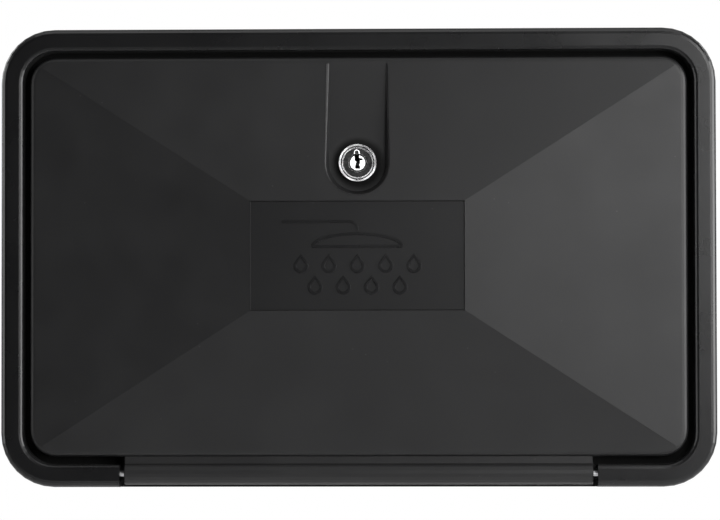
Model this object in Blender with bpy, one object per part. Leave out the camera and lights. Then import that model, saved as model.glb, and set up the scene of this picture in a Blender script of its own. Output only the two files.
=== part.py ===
# Recessed exterior shower box for a caravan or motorhome wall.
#
# Frame: metres, +Z up, +X to the right of someone who stands in front of the box. The wall's outer
# face is the plane y = 0, the front faces -Y and the tub reaches into the wall along +Y. The origin
# is the centre of the wall's cut-out.
#
# The housing, the door, its seal and the facets are swept from rounded rectangles, round pieces are
# turned, and what passes through a piece cuts its hole with a named clearance.

import math

import bmesh
import bpy
from mathutils import Matrix, Vector

# Clearances shared by the pieces
GAP = 0.0003
RUNNING_GAP = 0.0006

# How far a cutter runs past the face it opens, and the smallest corner radius
OVERRUN = 0.0020
SMALLEST_CORNER = 0.0010

# Flange and its raised rim, which is hollow from behind
FLANGE_WIDTH = 0.3366
FLANGE_HEIGHT = 0.2159
FLANGE_CORNER = 0.0254
RIM_WIDTH = 0.0106
RIM_PROUD = 0.0145
RIM_OUTER_FILLET = 0.0030
RIM_INNER_FILLET = 0.0018
RIM_DRAFT = 0.0003
LEDGE_THICKNESS = 0.0025
WALL = 0.0025

# Tub behind the ledge
LEDGE_SIDE = 0.0137
LEDGE_TOP = 0.0155
TUB_CORNER = 0.0140
TUB_DEPTH = 0.0950
TUB_DRAFT_DEG = 2.5
TUB_BACK_FILLET = 0.0080
LIP_PROUD = 0.0075

# Rubber seal on the lip
SEAL_SIDE = 0.0012
SEAL_GRIP = 0.0040
SEAL_SHOULDER = 0.0004
SEAL_BULB_FOOT = 0.0018
SEAL_BULB_TOP = 0.0008
SEAL_BULB_ROUND = 0.0010

# Door: a shell with four facets round a flat field
DOOR_GAP_SIDE = 0.00315
DOOR_GAP_TOP = 0.0029
DOOR_GAP_BOTTOM = 0.00395
DOOR_CORNER = 0.0125
DOOR_FILLET = 0.0030
DOOR_EDGE_PROUD = 0.0140
DOOR_RISE = 0.0080
DOOR_SHELL = 0.0028
DOOR_SKIRT_END = 0.0040
FIELD_WIDTH = 0.1003
FIELD_HEIGHT = 0.0512
FIELD_SUNK = 0.0008
FIELD_STEP = 0.0003
RIB_THICKNESS = 0.0020
RIB_PLANE = 0.0145
RIB_PITCH = 0.0620
RIB_SHARES = (-1.5, -0.5, 0.5, 1.5)

# Hinge along the bottom edge
HINGE_BAY = 0.2244
HINGE_BARREL = 0.2200
HINGE_BARREL_RADIUS = 0.0053
HINGE_HEIGHT = 0.0066
HINGE_PROUD = 0.0089
HINGE_WALL = 0.0040
HINGE_PLATE = 0.0027
HINGE_CHAMFER = 0.0004
PIN_RADIUS = 0.0015
WEB_FRONT = 0.0114
WEB_BACK = 0.0066

# Cam lock and its recess
LOCK_DROP = 0.05015
LOCK_HEAD_RADIUS = 0.0090
LOCK_HEAD_THICKNESS = 0.0017
LOCK_HEAD_CHAMFER = 0.0004
LOCK_OUTER_RING = 0.00105
LOCK_GROOVE_WIDTH = 0.00035
LOCK_GROOVE_DEPTH = 0.0003
LOCK_ANNULUS_WIDTH = 0.0027
LOCK_ANNULUS_DEPTH = 0.0011
INDEX_NOTCH_WIDTH = 0.0030
INDEX_NOTCH_REACH = 0.0063
INDEX_NOTCH_DEPTH = 0.0015
LOCK_BODY_RADIUS = 0.0080
LOCK_BODY_FLATS = 0.0140
LOCK_BODY_LENGTH = 0.0142
PLUG_RADIUS = 0.0040
PLUG_TAIL_RADIUS = 0.0030
PLUG_SUNK = 0.0003
KEYWAY_WIDTH = 0.0019
KEYWAY_HEIGHT = 0.0068
KEYWAY_DEPTH = 0.0060
KEYWAY_WARD_SHARE = 0.45
LOCK_NUT_FLATS = 0.0200
LOCK_NUT_THICKNESS = 0.0035
RECESS_RADIUS = 0.0134
RECESS_DRAFT_DEG = 14.0
RECESS_BELOW_EDGE = 0.0001
RECESS_RUNOUT = 0.0100
CAM_THICKNESS = 0.0020
CAM_WIDTH = 0.0120
CAM_HUB_RADIUS = 0.0080
CAM_TIP_GAP = 0.0023
CAM_TIP_CORNER = 0.0040
CAM_SCREW_RADIUS = 0.0015
CAM_SCREW_HEAD = 0.0044
CAM_SCREW_HEAD_HEIGHT = 0.0022
CAM_SCREW_LENGTH = 0.0050
KEEPER_WIDTH = 0.0440
KEEPER_DROP = 0.0060
KEEPER_THICKNESS = 0.0030

# Mounting screw holes in the ledge
SCREW_HOLE_RADIUS = 0.00225
SCREW_SINK_RADIUS = 0.0035
SCREW_SHARES = (-0.95, -0.38, 0.38, 0.95)

# Slotted pan-head screws: shares of the shank's radius and of the head's height
SCREW_SLOT = 0.0008
SCREW_POINT_SHARE = 0.6
SCREW_EDGE_SHARE = 0.45
SCREW_CROWN_SHARE = 0.6

# Faucet
INLET_PITCH = 0.1016
FAUCET_SIDE_ROOM = 0.01455
FAUCET_DROP_SHARE = 0.2152
FAUCET_STANDOFF = 0.0340
BAR_RADIUS = 0.0120
BAR_END = 0.0040
BAR_CHAMFER = 0.0036
TOWER_RADIUS = 0.0150
TOWER_LENGTH = 0.0500
TOWER_CHAMFER = 0.0010
ESCUTCHEON_RADIUS = 0.0215
ESCUTCHEON_THICKNESS = 0.0050
ESCUTCHEON_CHAMFER = 0.0020
THREAD_CHAMFER = 0.0006
SHANK_RADIUS = 0.0103
SHANK_BORE = 0.0065
SHANK_REACH = 0.0300
SHANK_SEAT_DEPTH = 0.0120
NUT_FLATS = 0.0320
NUT_THICKNESS = 0.0080
NUT_CHAMFER = 0.0008
WASHER_RADIUS = 0.0170
WASHER_THICKNESS = 0.0015
BONNET_RADIUS = 0.0110
BONNET_SEAT_DEPTH = 0.0200
BONNET_FLATS = 0.0240
BONNET_HEAD = 0.0060
BONNET_SLEEVE = 0.0140
STEM_RADIUS = 0.0050
STEM_DISC_RADIUS = 0.0090
STEM_DISC_THICKNESS = 0.0040
KNOB_RADIUS = 0.0200
KNOB_LENGTH = 0.0220
KNOB_LOBE = 0.0013
KNOB_LOBES = 8
KNOB_WALL = 0.0030
KNOB_FACE_SHARE = 0.70
KNOB_CROWN_SHARE = 0.84
KNOB_CROWN_DROP = 0.0022
KNOB_SHOULDER_SHARE = 0.91
KNOB_SHOULDER_DROP = 0.0060
KNOB_BOSS_WALL = 0.0025
KNOB_ROOF_DROP = 0.0020
KNOB_SHELF = 0.0015
KNOB_SCREW_ROOM = 0.0060
CAP_RADIUS = 0.0080
CAP_THICKNESS = 0.0020
KNOB_SCREW_RADIUS = 0.0015
KNOB_SCREW_HEAD = 0.0034
KNOB_SCREW_LENGTH = 0.0080
KNOB_SCREW_HOLE = 0.0113
OUTLET_RADIUS = 0.0110
OUTLET_LENGTH = 0.0080
OUTLET_CHAMFER = 0.0008
BREAKER_RADIUS = 0.0140
BREAKER_LENGTH = 0.0240
BREAKER_SOCKET = 0.0060
BREAKER_SHOULDER = 0.0020
HOSE_THREAD_LENGTH = 0.0100
BREAKER_SLOT_WIDTH = 0.0030
BREAKER_SLOT_DEPTH = 0.0025
BREAKER_SLOT_START = 0.0108
BREAKER_SLOT_END = 0.0173
BREAKER_SLOTS = 6

# Hand shower in its clip: its places and its head are shares of the flat part of the tub's back
SHOWER_STANDOFF = 0.0330
SHOWER_RISE_SHARE = 0.6600
HEAD_X_SHARE = 0.74326
TAIL_X_SHARE = 0.47023
HEAD_RADIUS_SHARE = 0.3874
HEAD_RIM = 0.0065
HEAD_DEPTH = 0.0220
HEAD_BACK_SHARE = 0.55
HEAD_BACK_PROFILE = ((0.30, 1.0), (0.62, 0.86), (0.86, 0.48), (1.0, 0.0))
HANDLE_RADIUS = 0.0120
HANDLE_WAIST_RADIUS = 0.0107
HANDLE_NECK_RADIUS = 0.0080
HANDLE_COLLAR_SHARE = 0.0143
HANDLE_WAIST_SHARE = 0.080
HANDLE_GRIP_START = 0.343
HANDLE_GRIP_END = 0.781
HANDLE_TAPER_SHARE = 0.8905
HANDLE_NECK_SHARE = 0.945
NECK_WALL = 0.0015
TAIL_THREAD_LENGTH = 0.0120
TAIL_THREAD_RADIUS = 0.0093
TAIL_BORE_DEPTH = 0.0096
SPRAY_THICKNESS = 0.0030
BEZEL_WIDTH = 0.0040
BEZEL_THICKNESS = 0.0020
NOZZLE_RADIUS = 0.0010
NOZZLE_PROUD = 0.0010
NOZZLE_TIP_SHARE = 0.7
NOZZLE_STEPS = 6
NOZZLE_RINGS = ((6, 0.36), (12, 0.74))
SWITCH_X_SHARE = 0.28062
SWITCH_LENGTH = 0.0100
SWITCH_WIDTH = 0.0090
SWITCH_TRAVEL = 0.0060
SWITCH_DEPTH = 0.0030
SWITCH_PROUD = 0.0020
SWITCH_TEETH = 4
TOOTH_SHARES = (0.25, 0.60, 0.85)
CLIP_X_SHARE = 0.09101
CLIP_WIDTH = 0.0200
CLIP_WALL = 0.0025
CLIP_MOUTH_DEG = 110.0
CLIP_BASE_SHARE = 0.6600
CLIP_BASE_THICKNESS = 0.0030
CLIP_NECK = 0.0100
CLIP_SCREW_INSET = 0.0060
CLIP_SCREW_RADIUS = 0.0020
CLIP_SCREW_HEAD = 0.0040
CLIP_SCREW_HEAD_HEIGHT = 0.0024
CLIP_SCREW_LENGTH = 0.0160

# Points round a corner and round a turned piece
CORNER_STEPS = 8
SEAL_CORNER_STEPS = 6
ROUND_STEPS = 20
HEX_STEPS = 24
FINE_STEPS = 32
SMALL_STEPS = 12
EDGE_STEPS = 4
SMALL_EDGE_STEPS = 3
ARC_STEPS = 20

# Places that follow from the sizes above
FLANGE_HALF_X = FLANGE_WIDTH / 2
FLANGE_HALF_Z = FLANGE_HEIGHT / 2
INNER_HALF_X = FLANGE_HALF_X - RIM_WIDTH
INNER_HALF_Z = FLANGE_HALF_Z - RIM_WIDTH
INNER_CORNER = max(FLANGE_CORNER - RIM_WIDTH, RIM_INNER_FILLET * 2)
MOUTH_HALF_X = INNER_HALF_X - LEDGE_SIDE
MOUTH_HALF_Z = INNER_HALF_Z - LEDGE_TOP
TUB_DRAW = TUB_DEPTH * math.tan(math.radians(TUB_DRAFT_DEG))
BACK_FLAT_HALF_X = MOUTH_HALF_X - TUB_DRAW - TUB_BACK_FILLET
BACK_FLAT_HALF_Z = MOUTH_HALF_Z - TUB_DRAW - TUB_BACK_FILLET
DOOR_HALF_X = INNER_HALF_X - DOOR_GAP_SIDE
DOOR_TOP_Z = INNER_HALF_Z - DOOR_GAP_TOP
DOOR_BOTTOM_Z = -INNER_HALF_Z + DOOR_GAP_BOTTOM
DOOR_HALF_Z = (DOOR_TOP_Z - DOOR_BOTTOM_Z) / 2
DOOR_Z = (DOOR_TOP_Z + DOOR_BOTTOM_Z) / 2
DOOR_INNER_FLAT = -DOOR_EDGE_PROUD + RECESS_BELOW_EDGE + DOOR_SHELL
HINGE_Z = -FLANGE_HALF_Z + HINGE_HEIGHT
HINGE_Y = -HINGE_PROUD
LOCK_Z = DOOR_TOP_Z - LOCK_DROP
LOCK_SEAT_Y = -DOOR_EDGE_PROUD + RECESS_BELOW_EDGE
LOCK_BACK_Y = LOCK_SEAT_Y + LOCK_BODY_LENGTH - GAP
CAM_Y = max(LOCK_BACK_Y, 0.0) + RUNNING_GAP
CAM_REACH = MOUTH_HALF_Z - CAM_TIP_GAP - LOCK_Z
BACK_WALL_Y = TUB_DEPTH
FAUCET_X = INLET_PITCH / 2 - (BACK_FLAT_HALF_X - ESCUTCHEON_RADIUS - FAUCET_SIDE_ROOM)
FAUCET_Z = -FAUCET_DROP_SHARE * BACK_FLAT_HALF_Z
BAR_Y = BACK_WALL_Y - FAUCET_STANDOFF
TOWER_FRONT_Y = BACK_WALL_Y - GAP - TOWER_LENGTH
BONNET_FRONT_Y = TOWER_FRONT_Y - GAP - BONNET_HEAD
KNOB_BACK_Y = BONNET_FRONT_Y - RUNNING_GAP
KNOB_FRONT_Y = KNOB_BACK_Y - KNOB_LENGTH
STEM_FRONT = TOWER_FRONT_Y - KNOB_FRONT_Y - CAP_THICKNESS - KNOB_SCREW_ROOM
SHOWER_Y = BACK_WALL_Y - SHOWER_STANDOFF
SHOWER_Z = SHOWER_RISE_SHARE * BACK_FLAT_HALF_Z
HEAD_X = HEAD_X_SHARE * BACK_FLAT_HALF_X
HEAD_RADIUS = HEAD_RADIUS_SHARE * BACK_FLAT_HALF_Z
SPRAY_RADIUS = HEAD_RADIUS - HEAD_RIM
HANDLE_TAIL_X = -TAIL_X_SHARE * BACK_FLAT_HALF_X
SWITCH_X = SWITCH_X_SHARE * BACK_FLAT_HALF_X
CLIP_X = CLIP_X_SHARE * BACK_FLAT_HALF_X
CLIP_BASE_HEIGHT = CLIP_BASE_SHARE * BACK_FLAT_HALF_Z
CLIP_SCREW_PITCH = CLIP_BASE_HEIGHT - 2 * CLIP_SCREW_INSET
INLETS = (("hot", FAUCET_X - INLET_PITCH / 2), ("cold", FAUCET_X + INLET_PITCH / 2))

# Finishes: colour, roughness, metallic
BLACK_ABS = ((0.020, 0.020, 0.022), 0.55, 0.0)
BLACK_RUBBER = ((0.012, 0.012, 0.013), 0.85, 0.0)
CHROME = ((0.80, 0.80, 0.82), 0.10, 1.0)
DARK_STEEL = ((0.42, 0.42, 0.43), 0.35, 1.0)
ZINC = ((0.60, 0.60, 0.61), 0.40, 1.0)
BRASS = ((0.78, 0.60, 0.28), 0.30, 1.0)
WHITE_NYLON = ((0.75, 0.75, 0.73), 0.50, 0.0)
RED_CAP = ((0.60, 0.03, 0.03), 0.35, 0.0)
BLUE_CAP = ((0.03, 0.12, 0.55), 0.35, 0.0)

# Where a mesh's own +Z points once its object is turned
TOWARDS_FRONT = (math.pi / 2, 0.0, 0.0)
TOWARDS_BACK = (-math.pi / 2, 0.0, 0.0)
TOWARDS_RIGHT = (0.0, math.pi / 2, 0.0)
TOWARDS_GROUND = (math.pi, 0.0, 0.0)
UPWARDS = (0.0, 0.0, 0.0)


def clear_scene():
    for item in list(bpy.data.objects):
        bpy.data.objects.remove(item, do_unlink=True)


def finish_material(name, finish):
    """One Principled material for one sub-part."""
    colour, roughness, metallic = finish
    material = bpy.data.materials.new(name + "_finish")
    material.use_nodes = True
    shader = material.node_tree.nodes["Principled BSDF"]
    shader.inputs["Base Color"].default_value = (*colour, 1.0)
    shader.inputs["Roughness"].default_value = roughness
    shader.inputs["Metallic"].default_value = metallic
    return material


def add_object(name, mesh, at=(0.0, 0.0, 0.0), turn=UPWARDS):
    item = bpy.data.objects.new(name, mesh)
    item.location = at
    item.rotation_euler = turn
    bpy.context.collection.objects.link(item)
    return item


def piece(name, mesh, finish, at=(0.0, 0.0, 0.0), turn=UPWARDS):
    """A sub-part: a named object with its own finish."""
    item = add_object(name, mesh, at, turn)
    mesh.materials.append(finish_material(name, finish))
    return item


def cutter(name, mesh, at=(0.0, 0.0, 0.0), turn=UPWARDS):
    """A hidden shape that cuts or joins another."""
    item = add_object(name, mesh, at, turn)
    item.hide_render = True
    item.display_type = "WIRE"
    return item


def combine(target, other, operation):
    """Adds a Boolean modifier to the target."""
    change = target.modifiers.new(operation.lower(), "BOOLEAN")
    change.operation = operation
    change.solver = "EXACT"
    change.object = other


def cut(target, other):
    combine(target, other, "DIFFERENCE")


def join(target, other):
    combine(target, other, "UNION")


def axis_empty(name, at):
    """Empty on a joint's axis."""
    empty = bpy.data.objects.new(name, None)
    empty.location = at
    bpy.context.collection.objects.link(empty)
    return empty


def carry(parent, *children):
    """Parents objects to an empty and leaves them where they are."""
    for child in children:
        child.parent = parent
        child.matrix_parent_inverse = Matrix.Translation(-Vector(parent.location))


def mesh_from(bm, name):
    """Closes a bmesh into a mesh with its faces outwards, smooth but for its real edges."""
    bmesh.ops.recalc_face_normals(bm, faces=bm.faces)
    mesh = bpy.data.meshes.new(name)
    bm.to_mesh(mesh)
    bm.free()
    mesh.shade_smooth()
    mesh.set_sharp_from_angle(angle=math.radians(35.0))
    return mesh


def arc(centre, radius, start_deg, end_deg, steps):
    """Points on an arc, both ends included."""
    points = []
    for step in range(steps + 1):
        angle = math.radians(start_deg + (end_deg - start_deg) * step / steps)
        points.append((centre[0] + radius * math.cos(angle), centre[1] + radius * math.sin(angle)))
    return points


def corner_angles(steps=CORNER_STEPS, extra=None):
    """Angles in degrees round one corner, with one extra angle put in its place."""
    angles = [90.0 * step / steps for step in range(steps + 1)]
    if extra is not None:
        angles = [a for a in angles if abs(a - extra) > 1.5 or a in (0.0, 90.0)]
        angles = sorted(angles + [extra])
    return angles


def rounded_outline(half_x, half_z, radius, angles):
    """Rounded rectangle, counter-clockwise from its right side, with the same angles in each corner."""
    quarter = []
    for angle in angles:
        turn = math.radians(angle)
        quarter.append(
            (half_x - radius + radius * math.cos(turn), half_z - radius + radius * math.sin(turn))
        )
    outline = list(quarter)
    outline += [(-x, z) for x, z in reversed(quarter)]
    outline += [(-x, -z) for x, z in quarter]
    outline += [(x, -z) for x, z in reversed(quarter)]
    return outline


def add_ring(bm, outline, y, centre_z=0.0):
    """A loop of vertices; y is one depth, or one depth for each point."""
    depths = y if isinstance(y, (list, tuple)) else [y] * len(outline)
    return [bm.verts.new((x, depth, z + centre_z)) for (x, z), depth in zip(outline, depths)]


def bridge(bm, first, second):
    """Quads between two loops that have the same number of points."""
    count = len(first)
    for i in range(count):
        following = (i + 1) % count
        bm.faces.new((first[i], first[following], second[following], second[i]))


def swept_rings(rings, closed, steps=CORNER_STEPS):
    """Skin over rings of rounded rectangles (half_x, half_z, radius, y), capped or closed on itself."""
    bm = bmesh.new()
    angles = corner_angles(steps)
    loops = [add_ring(bm, rounded_outline(hx, hz, r, angles), y) for hx, hz, r, y in rings]
    for first, second in zip(loops, loops[1:]):
        bridge(bm, first, second)
    if closed:
        bridge(bm, loops[-1], loops[0])
    else:
        bm.faces.new(loops[0])
        bm.faces.new(loops[-1])
    return mesh_from(bm, "swept")


def turned(profile, steps=ROUND_STEPS, closed=False, shape=None):
    """Turns a profile of (radius, height) round the mesh's own Z.

    A closed profile makes a ring; an open one is capped at both ends. shape(angle, radius, index)
    may change the radius round the turn.
    """
    bm = bmesh.new()
    loops = []
    for index, (radius, height) in enumerate(profile):
        loop = []
        for step in range(steps):
            angle = math.tau * step / steps
            reach = shape(angle, radius, index) if shape else radius
            loop.append(bm.verts.new((reach * math.cos(angle), reach * math.sin(angle), height)))
        loops.append(loop)
    for first, second in zip(loops, loops[1:]):
        bridge(bm, first, second)
    if closed:
        bridge(bm, loops[-1], loops[0])
    else:
        bm.faces.new(loops[0])
        bm.faces.new(loops[-1])
    return mesh_from(bm, "turned")


def rod(radius, start, end, steps=ROUND_STEPS, chamfer=0.0):
    """Round bar along the mesh's own Z."""
    if chamfer:
        profile = [
            (radius - chamfer, start),
            (radius, start + chamfer),
            (radius, end - chamfer),
            (radius - chamfer, end),
        ]
    else:
        profile = [(radius, start), (radius, end)]
    return turned(profile, steps)


def tube(outer, inner, start, end, steps=ROUND_STEPS, chamfer=0.0):
    """Round tube along the mesh's own Z, with its outer edges chamfered."""
    profile = [(inner, start), (outer - chamfer, start)]
    if chamfer:
        profile += [(outer, start + chamfer), (outer, end - chamfer)]
    profile += [(outer - chamfer, end), (inner, end)]
    return turned(profile, steps, closed=True)


def hexagon(flats, face_indices):
    """A shape for turned(): the named profile points follow a hexagon across the given flats."""
    def reach(angle, radius, index):
        if index not in face_indices:
            return radius
        within = math.fmod(angle, math.pi / 3) - math.pi / 6
        return min(radius, flats / 2 / math.cos(within)) if radius > flats / 2 else radius
    return reach


def hex_nut(flats, bore, thickness):
    """Nut from height 0 upwards, corners broken at both faces."""
    corner = flats / math.sqrt(3.0)
    profile = [
        (bore, 0.0),
        (corner - NUT_CHAMFER, 0.0),
        (corner, NUT_CHAMFER),
        (corner, thickness - NUT_CHAMFER),
        (corner - NUT_CHAMFER, thickness),
        (bore, thickness),
    ]
    return turned(profile, HEX_STEPS, closed=True, shape=hexagon(flats, (1, 2, 3, 4)))


def drawn(first_points, second_points):
    """Solid between two loops of points."""
    bm = bmesh.new()
    first = [bm.verts.new(point) for point in first_points]
    second = [bm.verts.new(point) for point in second_points]
    bridge(bm, first, second)
    bm.faces.new(first)
    bm.faces.new(second)
    return mesh_from(bm, "drawn")


def prism(outline, start, end):
    """Outline in X and Z drawn out along Y."""
    return drawn([(x, start, z) for x, z in outline], [(x, end, z) for x, z in outline])


def drawn_along_x(outline, start, end):
    """Outline in Y and Z drawn out along X."""
    return drawn([(start, y, z) for y, z in outline], [(end, y, z) for y, z in outline])


def block(low, high):
    """Box between two corners."""
    outline = [(low[0], low[2]), (high[0], low[2]), (high[0], high[2]), (low[0], high[2])]
    return prism(outline, low[1], high[1])


def merged(meshes_at):
    """One mesh of several separate bodies: (mesh, place) pairs."""
    bm = bmesh.new()
    for mesh, place in meshes_at:
        copy = mesh.copy()
        copy.transform(place)
        bm.from_mesh(copy)
        bpy.data.meshes.remove(copy)
    mesh = bpy.data.meshes.new("merged")
    bm.to_mesh(mesh)
    bm.free()
    return mesh


def placed(x, y, z, turn=UPWARDS):
    """Matrix that puts a mesh at a place with a turn."""
    rotation = Matrix.Rotation(turn[1], 4, "Y") @ Matrix.Rotation(turn[0], 4, "X")
    return Matrix.Translation((x, y, z)) @ rotation


def fillet_rings(half_x, half_z, corner, y, radius, steps, towards):
    """Rings round an outer edge that is rounded with a radius, from the side wall to the face.

    towards is -1 where the face looks to the front and +1 where it looks to the back.
    """
    rings = []
    for step in range(steps + 1):
        angle = math.pi / 2 * step / steps
        inset = radius * (1 - math.cos(angle))
        depth = y - towards * radius * (1 - math.sin(angle))
        rings.append((half_x - inset, half_z - inset, max(corner - inset, SMALLEST_CORNER), depth))
    return rings


# Housing

def tub_rings(extra):
    """Rings of the tub from its mouth to its back: extra is the wall added outside."""
    back = BACK_WALL_Y + extra
    fillet = TUB_BACK_FILLET + extra
    half_x = MOUTH_HALF_X - TUB_DRAW + extra
    half_z = MOUTH_HALF_Z - TUB_DRAW + extra
    corner = max(TUB_CORNER - TUB_DRAW / 2, TUB_BACK_FILLET) + extra
    return fillet_rings(half_x, half_z, corner, back, fillet, SMALL_EDGE_STEPS, 1)


def housing_rings():
    """Rings from the middle of the tub's outer back round the rim to the tub's inner back."""
    rings = list(reversed(tub_rings(WALL)))
    rings.append((MOUTH_HALF_X + WALL, MOUTH_HALF_Z + WALL, TUB_CORNER + WALL, 0.0))
    rings.append((FLANGE_HALF_X, FLANGE_HALF_Z, FLANGE_CORNER, 0.0))
    rings += fillet_rings(
        FLANGE_HALF_X - RIM_DRAFT,
        FLANGE_HALF_Z - RIM_DRAFT,
        FLANGE_CORNER - RIM_DRAFT,
        -RIM_PROUD,
        RIM_OUTER_FILLET,
        EDGE_STEPS,
        -1,
    )
    for step in range(SMALL_EDGE_STEPS + 1):
        angle = math.pi / 2 * step / SMALL_EDGE_STEPS
        inset = RIM_INNER_FILLET * (1 - math.sin(angle))
        depth = -RIM_PROUD + RIM_INNER_FILLET * (1 - math.cos(angle))
        rings.append((INNER_HALF_X + inset, INNER_HALF_Z + inset, INNER_CORNER + inset, depth))
    rings.append((INNER_HALF_X, INNER_HALF_Z, INNER_CORNER, -LEDGE_THICKNESS))
    rings.append((MOUTH_HALF_X + WALL, MOUTH_HALF_Z + WALL, TUB_CORNER + WALL, -LEDGE_THICKNESS))
    rings.append((MOUTH_HALF_X + WALL, MOUTH_HALF_Z + WALL, TUB_CORNER + WALL, -LIP_PROUD))
    rings.append((MOUTH_HALF_X, MOUTH_HALF_Z, TUB_CORNER, -LIP_PROUD))
    rings += tub_rings(0.0)
    return rings


def rim_channel_cutter():
    """The hollow behind the rim, open to the back and stopped at the hinge bay."""
    floor = -RIM_PROUD + WALL
    inner = RIM_WIDTH - WALL
    rings = []
    for inset, depth in (
        (WALL, OVERRUN),
        (WALL + RIM_DRAFT, floor),
        (inner, floor),
        (inner, OVERRUN),
    ):
        corner = max(FLANGE_CORNER - inset, SMALLEST_CORNER)
        rings.append((FLANGE_HALF_X - inset, FLANGE_HALF_Z - inset, corner, depth))
    channel = cutter("rim_channel_cutter", swept_rings(rings, closed=True))
    stop = HINGE_BAY / 2 + HINGE_WALL
    bay = block((-stop, -2 * RIM_PROUD, -FLANGE_HEIGHT), (stop, 2 * OVERRUN, -MOUTH_HALF_Z))
    cut(channel, cutter("channel_stop", bay))
    return channel


def screw_places():
    """Mounting holes in the ledge: rows at the top and bottom and one at each side, all behind the door."""
    row_z = min(DOOR_TOP_Z, -DOOR_BOTTOM_Z) - SCREW_SINK_RADIUS
    side_x = DOOR_HALF_X - SCREW_SINK_RADIUS
    places = [(side * side_x, 0.0) for side in (-1, 1)]
    for level in (-row_z, row_z):
        for share in SCREW_SHARES:
            places.append((share * MOUTH_HALF_X, level))
    return places


def ledge_hole_cutter():
    sink = SCREW_SINK_RADIUS - SCREW_HOLE_RADIUS
    profile = [
        (SCREW_HOLE_RADIUS, -OVERRUN),
        (SCREW_HOLE_RADIUS, LEDGE_THICKNESS - sink),
        (SCREW_SINK_RADIUS, LEDGE_THICKNESS),
        (SCREW_SINK_RADIUS, LEDGE_THICKNESS + OVERRUN),
    ]
    hole = turned(profile, SMALL_STEPS)
    holes = [(hole, placed(x, 0.0, z, TOWARDS_FRONT)) for x, z in screw_places()]
    return cutter("ledge_hole_cutter", merged(holes))


def back_hole_cutter():
    """Holes in the tub's back wall for the shanks and the clip's screws."""
    start = BACK_WALL_Y - OVERRUN
    end = WALL + 2 * OVERRUN
    shank = rod(SHANK_RADIUS + GAP, 0.0, end)
    screw = rod(CLIP_SCREW_RADIUS + GAP, 0.0, end, SMALL_STEPS)
    holes = [(shank, placed(x, start, FAUCET_Z, TOWARDS_BACK)) for _, x in INLETS]
    for side in (-1, 1):
        z = SHOWER_Z + side * CLIP_SCREW_PITCH / 2
        holes.append((screw, placed(CLIP_X, start, z, TOWARDS_BACK)))
    return cutter("back_hole_cutter", merged(holes))


def build_housing():
    housing = piece("housing", swept_rings(housing_rings(), closed=False), BLACK_ABS)
    bay_top = -INNER_HALF_Z + RIM_INNER_FILLET
    bay = block(
        (-HINGE_BAY / 2, -RIM_PROUD - OVERRUN, -FLANGE_HALF_Z - OVERRUN),
        (HINGE_BAY / 2, -HINGE_PLATE, bay_top),
    )
    cut(housing, cutter("hinge_bay_cutter", bay))
    cut(housing, rim_channel_cutter())
    reach = HINGE_BAY / 2 + HINGE_WALL + GAP
    pin_hole = cutter(
        "pin_hole_cutter",
        rod(PIN_RADIUS + GAP, -reach, reach, SMALL_STEPS),
        (0.0, HINGE_Y, HINGE_Z),
        TOWARDS_RIGHT,
    )
    cut(housing, pin_hole)
    cut(housing, ledge_hole_cutter())
    cut(housing, back_hole_cutter())
    return housing


def build_keeper():
    """Bar bonded under the top of the mouth for the cam to go behind; its front edge guides the cam."""
    low = MOUTH_HALF_Z - KEEPER_DROP
    high = MOUTH_HALF_Z - TUB_DRAW * LIP_PROUD / TUB_DEPTH - GAP
    nose = KEEPER_THICKNESS / 3
    outline = [
        (-KEEPER_THICKNESS, high),
        (-KEEPER_THICKNESS, low + nose),
        (-KEEPER_THICKNESS + nose, low),
        (0.0, low),
        (0.0, high),
    ]
    return piece("keeper", drawn_along_x(outline, -KEEPER_WIDTH / 2, KEEPER_WIDTH / 2), BLACK_ABS)


def build_seal():
    """Rubber edge seal: a channel pushed on to the lip, with a bulb that meets the door."""
    inner = -GAP
    outer = WALL + GAP
    foot = -LIP_PROUD + SEAL_GRIP
    roof = -LIP_PROUD - GAP
    shoulder = roof - SEAL_SHOULDER
    bulb = DOOR_INNER_FLAT + GAP
    middle = WALL / 2
    section = [
        (outer, foot),
        (outer + SEAL_SIDE, foot),
        (outer + SEAL_SIDE, shoulder),
        (middle + SEAL_BULB_FOOT, bulb + SEAL_BULB_ROUND),
        (middle + SEAL_BULB_TOP, bulb),
        (middle - SEAL_BULB_TOP, bulb),
        (middle - SEAL_BULB_FOOT, bulb + SEAL_BULB_ROUND),
        (inner - SEAL_SIDE, shoulder),
        (inner - SEAL_SIDE, foot),
        (inner, foot),
        (inner, roof),
        (outer, roof),
    ]
    rings = [(MOUTH_HALF_X + d, MOUTH_HALF_Z + d, TUB_CORNER + d, y) for d, y in section]
    return piece("door_seal", swept_rings(rings, True, SEAL_CORNER_STEPS), BLACK_RUBBER)


def build_pin():
    reach = HINGE_BAY / 2 + HINGE_WALL - GAP
    return piece(
        "hinge_pin",
        rod(PIN_RADIUS, -reach, reach, SMALL_STEPS, HINGE_CHAMFER),
        DARK_STEEL,
        (0.0, HINGE_Y, HINGE_Z),
        TOWARDS_RIGHT,
    )


# Door

def facet_height(x, z):
    """Height of the facets over the edge plane: it falls from the field to the edge."""
    along_x = (abs(x) - FIELD_WIDTH / 2) / (DOOR_HALF_X - DOOR_FILLET - FIELD_WIDTH / 2)
    along_z = (abs(z) - FIELD_HEIGHT / 2) / (DOOR_HALF_Z - DOOR_FILLET - FIELD_HEIGHT / 2)
    return DOOR_RISE * (1.0 - max(along_x, along_z))


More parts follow.
